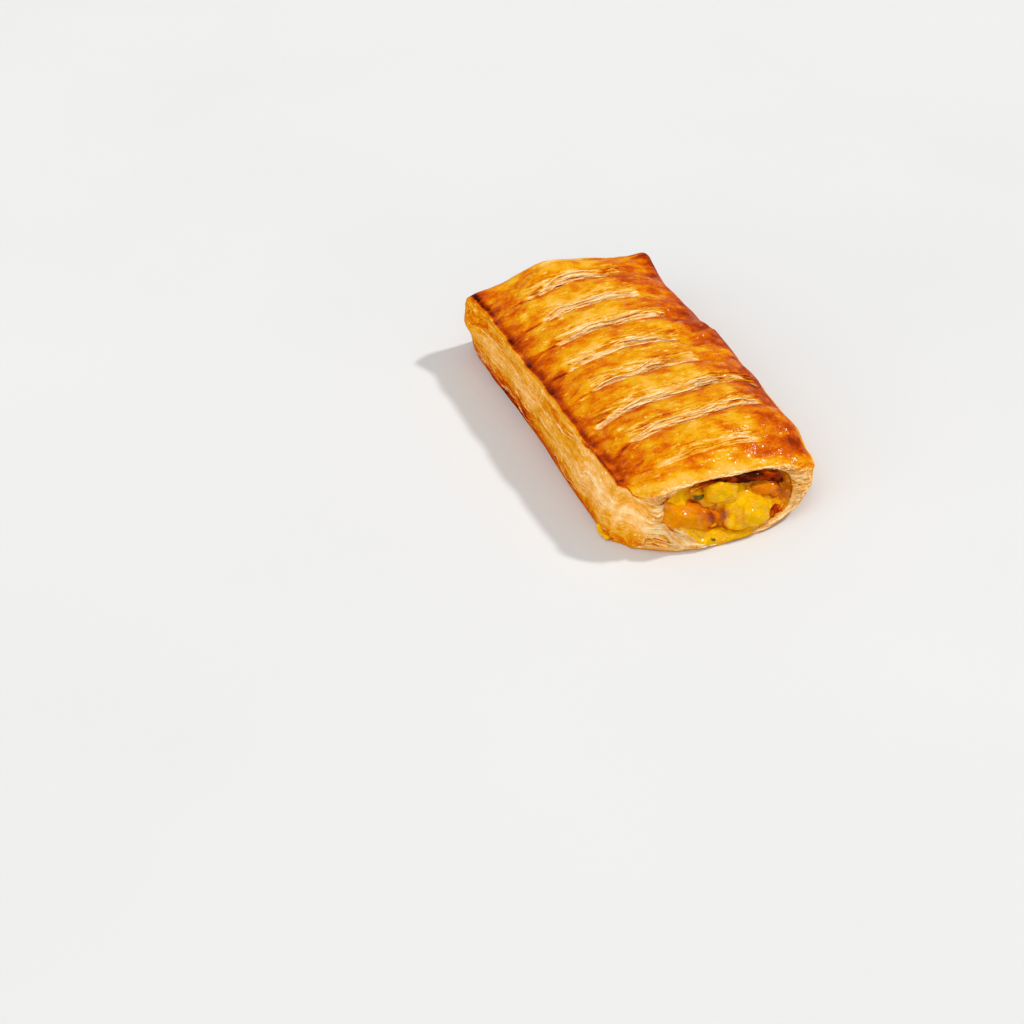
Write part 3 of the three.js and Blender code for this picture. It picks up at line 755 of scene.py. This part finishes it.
def filling_face(end, angle):
    """Rings of the filling in a mouth, from the mouth's edge to the middle, with painted shade in its
    hollows and browning at its right.
    """
    share = (1 - shares(FILLING_RINGS))[:, None]
    edge = mouth_point(end, angle, -0.4)[None]
    middle = np.array([MOUTH_SHIFT[end], end * MOUTH_Y[end], MOUTH_HEIGHT])
    place = lerp(middle, edge, share[..., None])
    flat = place * np.array([1, 0, 1]) + np.array([0, 31.0 * end, 0])
    low = (MOUTH_HEIGHT - place[..., 2]) / MOUTH_HALF_HEIGHT
    out = FILLING_REACH * (1 - share**3) + 2.4 * low * (1 - share**6)
    lumps = 1.8 * lumpy(flat, 5.0, 91) + 0.8 * lumpy(flat, 2.3, 92) + 0.25 * lumpy(flat, 0.9, 93)
    place[..., 1] += end * (out + lumps * (1 - share**8) + 0.1)
    # Painted shade in the hollows between lumps, and real browning toward the mouth's right side
    return place, smooth(-lumps, -0.4, 1.6) + 0.55 * smooth(place[..., 0], 13, 21)


def filling():
    """The filling from mouth to mouth, lumpy at both ends."""
    angle = 2 * np.pi * shares(FILLING_COLUMNS)
    (front, front_pits), (rear, rear_pits) = filling_face(FRONT, angle), filling_face(REAR, angle)
    depths = np.linspace(-TUNNEL_HALF_LENGTH, TUNNEL_HALF_LENGTH, 8)
    core = np.stack([tunnel_point(angle, depth, 0.2) for depth in depths])
    tips = [np.broadcast_to(face[-1].mean(axis=0), (1, FILLING_COLUMNS, 3)) for face in (front, rear)]
    rings = np.concatenate([tips[0], front[::-1], core, rear, tips[1]])
    pits = np.zeros(rings.shape[:2])
    pits[1:FILLING_RINGS + 1], pits[-FILLING_RINGS - 1:-1] = front_pits[::-1], rear_pits
    return rolled_sheet("lumpy_filling", rings, False, pits=pits)


def sauce_blob(name, shape):
    """A ball is drawn out to a smear of sauce by a function of its points."""
    bpy.ops.object.select_all(action="DESELECT")
    bpy.ops.mesh.primitive_uv_sphere_add(segments=72, ring_count=36, radius=1.0, calc_uvs=False)
    piece = start(name)
    move_points(piece, shape(points_of(piece)))
    sew()
    return piece


def lip_sauce(ball):
    """Sauce that ran from the front mouth over the base's lip."""
    x = SAUCE_MIDDLE + SAUCE_HALF_WIDTH * ball[:, 0] + 1.6 * noise(2.5 * ball[:, 1], 0.3, 95)
    turn = -np.arccos(np.clip((x - MOUTH_SHIFT[FRONT]) / MOUTH_HALF_WIDTH[FRONT], -1, 1))
    inner = mouth_point(FRONT, turn, 1.0)
    outer = bow(x, np.full_like(x, -HALF_LENGTH), np.full_like(x, 0.5))
    outer[:, 2] += base_z(x, np.full_like(x, -HALF_LENGTH))
    reach = 1.02 - 0.55 * smooth(x, -1, 13) - 0.6 * smooth(-x, 13, 21) + 0.3 * rough(0.3 * x, 0.5, 96)
    share = lerp(-0.1, reach, 0.5 + 0.5 * ball[:, 1])
    place = lerp(inner, outer, share[:, None])
    place[:, 1] -= 1.6 * np.sin(np.pi * np.clip(share, 0, 1)) * share + 0.6
    thick = 1.2 + 1.2 * lumpy(place, 3.2, 97) + 0.7 * lumpy(place, 1.4, 98)
    place += (ball[:, 2] * thick)[:, None] * np.array([0.0, -0.75, 0.66])
    place[:, 2] = np.maximum(place[:, 2], LOWEST)
    return place


def leaked_sauce(ball):
    """A small leak of sauce under the front left of the base."""
    place = ball * LEAK_HALF_SIZES + LEAK_PLACE
    place += (0.9 * lumpy(place, 1.7, 99) + 0.5 * lumpy(place, 0.8, 100))[:, None] * ball
    place[:, 2] = np.maximum(place[:, 2], LOWEST)
    return place


def chicken_piece(name, end, x, z, half, turn, browned):
    """A ball is squared to a dice of chicken, with lumps, fibres and a seared side."""
    bpy.ops.object.select_all(action="DESELECT")
    bpy.ops.mesh.primitive_ico_sphere_add(subdivisions=5, radius=1.0, calc_uvs=False)
    piece = start(name)
    ball = points_of(piece)
    block = np.sign(ball) * np.abs(ball) ** 0.68 * np.array(half)
    seed = 101 + round(x - 3 * z)
    lumps = 0.16 * lumpy(block + seed, 6.0, seed) + 0.14 * lumpy(block, 2.8, seed + 1)
    block *= (1 + lumps + 0.045 * lumpy(block, 1.2, seed + 4))[:, None]
    fibres = 0.16 * creased(0.9 * block[:, 2] + 0.2 * block[:, 1], 0.18 * block[:, 0], seed + 2)
    block += fibres[:, None] * ball
    turned = block @ np.array(Euler(np.radians(turn)).to_matrix()).T
    middle = np.array([x, end * (HALF_LENGTH - CHICKEN_SETBACK - MOUTH_LEAN[end] * (z - MOUTH_HEIGHT)), z])
    move_points(piece, turned + middle)
    sear = smooth(ball[:, 0] * 0.7 + 0.4 * ball[:, 2] + 0.35 * lumpy(block, 3.0, seed + 3), 0.2, 0.9)
    put_mark(piece, "browned", lerp(*browned, sear))
    put_mark(piece, "flow", block[:, [0, 2]])
    sew()
    return piece


def burnt_edge(name, end, first, last, bulk, bake, seed, inset, forward):
    """A dark roll of baked sauce and dough along the edge of a mouth."""
    along = np.linspace(0, 1, 90)[:, None]
    turn = 2 * np.pi * shares(22)[None]
    path = mouth_point(end, np.radians(lerp(first, last, along[:, 0])), inset * bulk)[:, None]
    full = smooth(along, 0.15, 0.4)
    thick = bulk * (0.35 + 0.65 * full) * (1 + 0.3 * rough(8 * along, 0.5, seed))
    thick = thick * smooth(along, 0, 0.06) * (1 - smooth(along, 0.88, 1) ** 2)
    ring = np.stack([0 * turn, end * np.cos(turn), np.sin(turn)], -1)
    place = path + np.array([0, forward * end, 0]) + ring * thick[..., None]
    bumps = 0.35 * lumpy(place, 1.8, seed + 1) + 0.15 * lumpy(place, 0.8, seed + 3)
    place += bumps[..., None] * ring * smooth(thick, 0.1, 0.6)[..., None]
    toast = bake - 0.22 * (1 - full) + 0.22 * rough(11 * along, turn, seed + 2)
    marks = {"bake": toast, "glaze": 0.8 + 0 * along * turn}
    flow = np.stack([40 * along + 0 * turn, 2 * turn + 0 * along], -1)
    return rolled_sheet(name, place, False, **marks, grain=0.1 + 0 * along * turn, flow=flow)


def herb_flecks():
    """Small bent bits of leaf in the filling."""
    for end, x, z, length in HERBS:
        stations = np.linspace(-1, 1, 8)
        turn = rng.uniform(-0.6, 0.2)
        y = end * (HALF_LENGTH - 1.4 - 1.6 * MOUTH_LEAN[end] * (z - MOUTH_HEIGHT))
        y = y + 0.3 * end * (1 - stations**2)
        path = np.stack([x + length * stations * np.cos(turn), y, z + length * stations * np.sin(turn)], -1)
        outward = np.array([0.0, 0.5 * end, -0.8])
        yield flake(path, outward, 0.5 * length * np.sqrt(1.02 - stations**2), 0.4, 0.5)


# Flakes: thin ribbons of dough that stand out of the cut layers

def flake(path, outward, reach, thickness, bake):
    """One ribbon: four rails along a path, with its inner edge sunk in the dough."""
    along = np.gradient(path, axis=0)
    along /= np.linalg.norm(along, axis=1, keepdims=True)
    face = np.cross(along, outward)
    face *= thickness / 2 / np.linalg.norm(face, axis=1, keepdims=True)
    inner, outer = path - 0.6 * outward, path + reach[:, None] * outward
    rails = np.stack([inner - face, outer - 0.4 * face, outer + 0.4 * face, inner + face], axis=1)
    length = np.cumsum(np.linalg.norm(np.gradient(path, axis=0), axis=1))
    flow = np.stack([np.stack([length, np.full_like(length, 0.7 * rail)], -1) for rail in range(4)], axis=1)
    toast = np.stack([np.full_like(length, bake + tip) for tip in (0, 0.1, 0.1, 0)], axis=1)
    return rails, toast, flow


def ragged(count, reach):
    """The reach of a flake along its length: nothing at its ends, and torn between."""
    along = np.linspace(0, 1, count)
    torn = 1 + 0.5 * noise(9 * along, rng.uniform(0, 90), 121)
    return reach * torn * np.clip(np.sin(np.pi * along), 0, 1) ** 0.4


def slit_flakes():
    """Flakes along the cut layers of the slits."""
    for number in range(SLIT_COUNT):
        if SLIT_STRENGTH[number] < 0.4:
            continue
        for _ in range(FLAKES_IN_A_SLIT):
            length = rng.uniform(7, 20)
            first = rng.uniform(-0.9 * SLIT_LEFT_END[number], 0.9 * SLIT_RIGHT_END[number] - length)
            x = np.linspace(first, first + length, FLAKE_STATIONS)
            level = rng.uniform(0.05, 1.0)
            slope = slit_place(x, np.full_like(x, VALLEYS[number]))[3]
            v = VALLEYS[number] + level * slope + 0.25 * noise(0.3 * x, 9 * level, 122)
            outward = np.array([0.0, -0.9, rng.uniform(0.2, 0.6)])
            reach = ragged(FLAKE_STATIONS, rng.uniform(0.3, 0.9) * SLIT_STRENGTH[number])
            yield flake(lid_place(x, v), outward, reach, rng.uniform(0.14, 0.26), rng.uniform(-0.1, 0.1))


def wall_flakes(side):
    """Flakes along the layers of a wall."""
    for _ in range(FLAKES_ON_A_WALL):
        length = rng.uniform(5, 18)
        first = rng.uniform(-66, 72 - length)
        y = np.linspace(first, first + length, FLAKE_STATIONS)
        level = rng.uniform(0.1, 0.88)
        t = np.clip(level - waves(y, level) / RIM_HEIGHT, 0.03, 0.92)
        outward = np.array([side * 0.95, 0.0, rng.uniform(-0.5, 0.1)])
        reach = ragged(FLAKE_STATIONS, rng.uniform(0.1, 0.4))
        yield flake(wall_point(side, t, y), outward, reach, rng.uniform(0.16, 0.3), rng.uniform(0.1, 0.26))


def face_flakes(place, end):
    """Flakes of an end face, along its rings above and below the mouth, and across them beside it."""
    rings, columns = place.shape[:2]
    for _ in range(FLAKES_AT_AN_END):
        ring, first, span = rng.integers(3, int(0.8 * rings)), rng.integers(0, columns), rng.integers(7, 24)
        along = place[ring, (first + np.arange(span)) % columns]
        across = place[ring:ring + 12, first]
        path = min(along, across, key=lambda line: np.ptp(line[:, 2]) / (np.ptp(line[:, 0]) + 0.1))
        count = len(path)
        if np.ptp(path[:, 0]) < 2.5 or np.linalg.norm(np.diff(path, axis=0), axis=1).max() > 3:
            continue
        stations = np.linspace(0, count - 1, FLAKE_STATIONS)
        path = np.stack([np.interp(stations, np.arange(count), path[:, axis]) for axis in range(3)], -1)
        outward = np.array([rng.uniform(-0.2, 0.2), 0.95 * end, rng.uniform(-0.25, 0.25)])
        reach = ragged(FLAKE_STATIONS, rng.uniform(0.3, 1.0))
        yield flake(path, outward, reach, rng.uniform(0.16, 0.32), rng.uniform(0.04, 0.2))


def joined_strips(name, strips):
    """All ribbons of one kind as one mesh."""
    rails, toast, flow = (np.stack(part) for part in zip(*strips))
    rails[..., 2] = np.maximum(rails[..., 2], LOWEST)
    count, stations = rails.shape[:2]
    corner = np.arange(count * stations * 4).reshape(count, stations, 4)
    here, there = corner[:, :-1], corner[:, 1:]
    sides = [
        np.stack([here[..., a], here[..., b], there[..., b], there[..., a]], -1).reshape(-1, 4)
        for a, b in ((0, 1), (1, 2), (2, 3), (3, 0))
    ]
    caps = [corner[:, 0, ::-1], corner[:, -1]]
    mesh = bpy.data.meshes.new(name)
    mesh.from_pydata(((rails + CENTRE) * MM).reshape(-1, 3), [], np.concatenate(sides + caps).tolist())
    piece = bpy.data.objects.new(name, mesh)
    bpy.context.scene.collection.objects.link(piece)
    bpy.ops.object.select_all(action="DESELECT")
    bpy.context.view_layer.objects.active = piece
    piece.select_set(True)
    put_mark(piece, "bake", toast)
    put_mark(piece, "glaze", np.full(toast.size, 0.05))
    put_mark(piece, "grain", np.full(toast.size, 0.8))
    put_mark(piece, "flow", flow)
    sew()
    return piece


# Materials

def new_material(name):
    material = bpy.data.materials.new(name)
    material.use_nodes = True
    return material, material.node_tree, material.node_tree.nodes["Principled BSDF"]


def add(tree, kind, settings=None, **inputs):
    """Adds a node, sets its own settings, and sets or links its inputs."""
    made = tree.nodes.new("ShaderNode" + kind)
    for key, value in (settings or {}).items():
        setattr(made, key, value)
    for key, value in inputs.items():
        plug(tree, made.inputs[key.replace("_", " ")], value)
    return made


def plug(tree, socket, value):
    if isinstance(value, bpy.types.NodeSocket):
        tree.links.new(value, socket)
    else:
        socket.default_value = value


def sums(tree, operation, first, second):
    made = tree.nodes.new("ShaderNodeMath")
    made.operation = operation
    plug(tree, made.inputs[0], first)
    plug(tree, made.inputs[1], second)
    return made.outputs[0]


def total(tree, *values):
    so_far = values[0]
    for value in values[1:]:
        so_far = sums(tree, "ADD", so_far, value)
    return so_far


def own_place(tree):
    return add(tree, "TexCoord").outputs["Object"]


def mark(tree, name, output="Fac"):
    return add(tree, "Attribute", {"attribute_name": name}).outputs[output]


def spots(tree, vector, scale, weight, detail=3.0, roughness=0.55, stretch=None):
    """Noise about zero, from -0.5 to 0.5, times a weight."""
    if stretch is not None:
        vector = add(tree, "Mapping", Vector=vector, Scale=stretch).outputs[0]
    made = add(tree, "TexNoise", Vector=vector, Scale=scale, Detail=detail, Roughness=roughness)
    return sums(tree, "MULTIPLY", sums(tree, "SUBTRACT", made.outputs["Fac"], 0.5), weight)


def veins(tree, vector, weight, width, stretch):
    """Thin winding lines where noise passes its middle, times a weight."""
    vector = add(tree, "Mapping", Vector=vector, Scale=stretch).outputs[0]
    made = add(tree, "TexNoise", Vector=vector, Scale=1.0, Detail=3.0, Roughness=0.55)
    away = sums(tree, "ABSOLUTE", sums(tree, "SUBTRACT", made.outputs["Fac"], 0.5), 0.0)
    return add(tree, "MapRange", Value=away, From_Max=width, To_Min=weight, To_Max=0.0).outputs[0]


def ramp(tree, value, *stops):
    made = add(tree, "ValToRGB", Fac=value)
    elements = made.color_ramp.elements
    while len(elements) < len(stops):
        elements.new(1.0)
    for element, (place, colour) in zip(elements, stops):
        element.position = place
        element.color = (*colour, 1)
    return made.outputs["Color"]


def ranged(tree, value, low, high):
    return add(tree, "MapRange", Value=value, To_Min=low, To_Max=high).outputs[0]


def bumped(tree, shader, height, strength, distance):
    bump = add(tree, "Bump", Strength=strength, Distance=distance, Height=height)
    tree.links.new(bump.outputs[0], shader.inputs["Normal"])


def glinting(tree, shader, place, scale, weight, lowest):
    """A moist or glazed skin in spots, crinkled so that it breaks reflections up into glints."""
    moist = add(tree, "TexNoise", Vector=place, Scale=scale, Detail=2.0, Roughness=0.5).outputs["Fac"]
    shine = add(tree, "MapRange", Value=moist, From_Min=lowest, From_Max=lowest + 0.08).outputs[0]
    tree.links.new(sums(tree, "MULTIPLY", shine, weight), shader.inputs["Coat Weight"])
    shader.inputs["Coat Roughness"].default_value = 0.14
    crinkles = spots(tree, place, 0.8 * scale, 1.0, 2, 0.5)
    sheen = add(tree, "Bump", Strength=1.0, Distance=0.0007, Height=crinkles)
    tree.links.new(sheen.outputs[0], shader.inputs["Coat Normal"])


IVORY = (0.97, 0.78, 0.39)
CREAM = (0.93, 0.68, 0.29)
STRAW = (0.90, 0.455, 0.09)
GOLDEN = (0.74, 0.365, 0.006)
AMBER = (0.69, 0.215, 0.0015)
RUST = (0.57, 0.09, 0.001)
CHESTNUT = (0.35, 0.034, 0.001)
BURNT = (0.05, 0.006, 0.0012)


def crust_finish():
    """Puff pastry: pale dry layers where it was cut, golden egg glaze on top, and dark edges."""
    material, tree, shader = new_material("baked_crust")
    place = own_place(tree)
    flow = mark(tree, "flow", "Vector")
    # The bake mark holds browning, and painted shade in the slits' valleys and the ends' hollows
    bake, glaze, grain = mark(tree, "bake"), mark(tree, "glaze"), mark(tree, "grain")
    clouds = spots(tree, place, 95, 0.5, 2, 0.5)
    blotches = spots(tree, place, 250, 0.55, 3, 0.55, (0.6, 1, 1))
    specks = spots(tree, place, 1100, 0.24, 3)
    # Painted glints: small pale flecks of painted highlight, fewer where the crust is dark
    brushed = add(tree, "Mapping", Vector=place, Scale=(0.35, 1, 1)).outputs[0]
    glint_noise = add(tree, "TexNoise", Vector=brushed, Scale=560.0, Detail=4.0, Roughness=0.7).outputs["Fac"]
    painted_glints = add(tree, "MapRange", Value=glint_noise, From_Min=0.6, From_Max=0.67, To_Max=-0.3).outputs[0]
    glints_fade_when_dark = add(tree, "MapRange", Value=bake, From_Min=0.55, From_Max=0.75, To_Min=1.0, To_Max=0.25)
    painted_glints = sums(tree, "MULTIPLY", painted_glints, glints_fade_when_dark.outputs[0])
    wisps = spots(tree, flow, 1.0, 0.1, 3, 0.6, (0.14, 0.6, 1))
    lines = spots(tree, flow, 1.0, 1.2, 2, 0.5, (0.09, 0.7, 1))
    threads = spots(tree, flow, 1.0, 1.0, 3, 0.6, (0.22, 1.6, 1))
    cracks = veins(tree, flow, 0.26, 0.02, (0.1, 0.6, 1))
    frays = veins(tree, flow, -0.25, 0.025, (0.13, 0.7, 3))
    streaks = sums(tree, "MULTIPLY", total(tree, lines, threads, cracks, frays), grain)
    mottled = sums(tree, "MULTIPLY", total(tree, clouds, blotches), ranged(tree, glaze, 0.5, 1.0))
    tone = total(tree, bake, mottled, specks, painted_glints, wisps, streaks)
    colour = ramp(
        tree, tone,
        (0.0, IVORY), (0.1, CREAM), (0.29, STRAW), (0.44, GOLDEN),
        (0.56, AMBER), (0.68, RUST), (0.82, CHESTNUT), (1.0, BURNT),
    )
    # Dry dough is a little redder than glazed dough
    colour = add(tree, "HueSaturation", Hue=ranged(tree, glaze, 0.492, 0.5), Color=colour).outputs[0]
    tree.links.new(colour, shader.inputs["Base Color"])
    tree.links.new(sums(tree, "ADD", ranged(tree, glaze, 0.8, 0.42), specks), shader.inputs["Roughness"])
    layered = sums(tree, "MULTIPLY", spots(tree, flow, 1.0, 1.0, 4, 0.6, (0.16, 3.6, 1)), grain)
    skin = spots(tree, place, 620, 0.5, 4)
    dimples = spots(tree, place, 200, 0.4, 3)
    bumped(tree, shader, total(tree, layered, skin, dimples), 0.7, 0.0006)
    glinting(tree, shader, place, 420, sums(tree, "MULTIPLY", glaze, 0.34), 0.54)
    shader.inputs["Specular IOR Level"].default_value = 0.01
    shader.inputs["Specular Tint"].default_value = (1.0, 0.65, 0.18, 1)
    return material


def curry_finish():
    """Thick yellow curry sauce, moist, with darker and paler patches, and painted shade in the filling's
    hollows.
    """
    material, tree, shader = new_material("curry_sauce")
    place = own_place(tree)
    # Painted shade in the filling's hollows, with browning at the mouths' right sides, darkens the sauce
    pits = sums(tree, "MULTIPLY", mark(tree, "pits"), -0.5)
    tone = total(tree, spots(tree, place, 260, 0.9, 4), spots(tree, place, 1200, 0.4, 3), pits, 0.56)
    colour = ramp(
        tree, tone,
        (0.15, (0.42, 0.09, 0.002)), (0.38, (0.76, 0.30, 0.003)), (0.6, (0.84, 0.44, 0.003)),
        (0.9, (0.92, 0.58, 0.012)),
    )
    tree.links.new(colour, shader.inputs["Base Color"])
    tree.links.new(total(tree, spots(tree, place, 700, 0.3), 0.22), shader.inputs["Roughness"])
    grains = total(tree, spots(tree, place, 500, 1.0, 4), spots(tree, place, 1700, 0.3))
    bumped(tree, shader, grains, 0.7, 0.0007)
    glinting(tree, shader, place, 330, 0.5, 0.5)
    shader.inputs["Specular IOR Level"].default_value = 0.0
    shader.inputs["Subsurface Weight"].default_value = 0.08
    shader.inputs["Subsurface Radius"].default_value = (0.002, 0.0012, 0.0003)
    return material


def chicken_finish():
    """Cooked chicken, stained by the curry and browned where it stood out."""
    material, tree, shader = new_material("cooked_chicken")
    place = own_place(tree)
    flow = mark(tree, "flow", "Vector")
    fibres = spots(tree, flow, 1.0, 0.3, 4, 0.6, (0.25, 1.6, 1))
    blotches, specks = spots(tree, place, 280, 0.4, 4), spots(tree, place, 1100, 0.2)
    tone = total(tree, mark(tree, "browned"), blotches, specks, fibres)
    colour = ramp(
        tree, tone,
        (0.0, (0.80, 0.44, 0.003)), (0.22, (0.76, 0.32, 0.002)), (0.5, (0.70, 0.19, 0.002)),
        (0.75, (0.52, 0.09, 0.004)), (1.0, (0.10, 0.012, 0.002)),
    )
    tree.links.new(colour, shader.inputs["Base Color"])
    tree.links.new(total(tree, spots(tree, place, 800, 0.3), 0.28), shader.inputs["Roughness"])
    bumped(tree, shader, total(tree, fibres, spots(tree, place, 700, 0.8, 4)), 0.8, 0.0008)
    glinting(tree, shader, place, 330, 0.6, 0.5)
    shader.inputs["Specular IOR Level"].default_value = 0.0
    shader.inputs["Subsurface Weight"].default_value = 0.06
    shader.inputs["Subsurface Radius"].default_value = (0.002, 0.001, 0.0005)
    return material


def herb_finish():
    """Dull green bits of leaf."""
    material, tree, shader = new_material("dried_herb")
    place = own_place(tree)
    tone = total(tree, spots(tree, place, 1500, 1.2), 0.5)
    colour = ramp(tree, tone, (0.2, (0.035, 0.03, 0.002)), (0.8, (0.2, 0.16, 0.01)))
    tree.links.new(colour, shader.inputs["Base Color"])
    tree.links.new(total(tree, spots(tree, place, 900, 0.3), 0.6), shader.inputs["Roughness"])
    shader.inputs["Specular IOR Level"].default_value = 0.2
    return material


def lay_floor():
    """A pale floor, flat around the pastry and rising smoothly to its edges."""
    bpy.ops.object.select_all(action="DESELECT")
    bpy.ops.mesh.primitive_grid_add(x_subdivisions=48, y_subdivisions=48, size=FLOOR_SIZE)
    floor = start("floor")
    places = points_of(floor)
    places[:, 2] = FLOOR_RISE * smooth(np.linalg.norm(places[:, :2], axis=1), RISE_START, RISE_END)
    floor.data.vertices.foreach_set("co", places.ravel())
    bpy.ops.object.shade_smooth()
    material, tree, shader = new_material("pale_floor")
    tint = spots(tree, own_place(tree), 3.0, 1.0)
    colour = ramp(tree, total(tree, tint, 0.5), (0.3, (0.685, 0.685, 0.68)), (0.7, (0.715, 0.715, 0.71)))
    tree.links.new(colour, shader.inputs["Base Color"])
    shader.inputs["Roughness"].default_value = 0.7
    shader.inputs["Specular IOR Level"].default_value = 0.1
    floor.data.materials.append(material)


def put_up_camera():
    lens = bpy.data.cameras.new("photo_camera")
    lens.sensor_width = CAMERA_SENSOR
    lens.lens = CAMERA_LENS
    camera = bpy.data.objects.new("photo_camera", lens)
    turn = Euler(np.radians(CAMERA_TURN))
    camera.matrix_world = Matrix.LocRotScale(Vector(CAMERA_PLACE), turn, None)
    bpy.context.scene.collection.objects.link(camera)
    bpy.context.scene.camera = camera


def studio():
    """The floor, four lights, white surroundings and the camera."""
    lay_floor()
    for name, facts in LIGHTS.items():
        sunlight(name, *facts)
    world = bpy.data.worlds.new("studio_white")
    world.use_nodes = True
    world.node_tree.nodes["Background"].inputs["Color"].default_value = (1, 1, 1, 1)
    world.node_tree.nodes["Background"].inputs["Strength"].default_value = WORLD_STRENGTH
    bpy.context.scene.world = world
    put_up_camera()
    bpy.context.scene.view_settings.view_transform = "Standard"


def sunlight(name, place, strength, spread):
    """Even light from a place far off, which spans an angle in degrees."""
    data = bpy.data.lights.new(name, "SUN")
    data.energy = strength
    data.angle = float(np.radians(spread))
    made = bpy.data.objects.new(name, data)
    made.location = place
    made.rotation_euler = (-made.location).to_track_quat("-Z", "Y").to_euler()
    bpy.context.scene.collection.objects.link(made)


studio()
crust, curry, chicken = crust_finish(), curry_finish(), chicken_finish()
as_crust = crust, "pastry_crust", "pastry_sleeve"
as_filling = "curry_filling", "curry_filling"

# bake holds the browning, with painted shade in the slits' valleys and the ends' hollows
rings, bake, glaze, grain, flow = dough_sheet()
sleeve = rolled_sheet("pastry_crust", rings, True, bake=bake, glaze=glaze, grain=grain, flow=flow)
finish_piece(sleeve, *as_crust)

rows = len(station_rows())
rear_rings = rings[rows:rows + FACE_RINGS]
front_rings = rings[-FACE_RINGS:][::-1]
flakes = {
    "slit_flakes": list(slit_flakes()),
    "wall_flakes": [*wall_flakes(LEFT), *wall_flakes(RIGHT)],
    "end_flakes": [*face_flakes(front_rings, FRONT), *face_flakes(rear_rings, REAR)],
}
for name, strips in flakes.items():
    finish_piece(joined_strips(name, strips), *as_crust)
for name, facts in BURNT_EDGES.items():
    finish_piece(burnt_edge(name, *facts), *as_crust)

finish_piece(joined_strips("herb_flecks", list(herb_flecks())), herb_finish(), *as_filling)
finish_piece(filling(), curry, *as_filling)
for name, shape in (("lip_sauce", lip_sauce), ("leaked_sauce", leaked_sauce)):
    finish_piece(sauce_blob(name, shape), curry, *as_filling)
for name, facts in CHICKEN.items():
    finish_piece(chicken_piece(name + "_dice", *facts), chicken, "chicken", name)
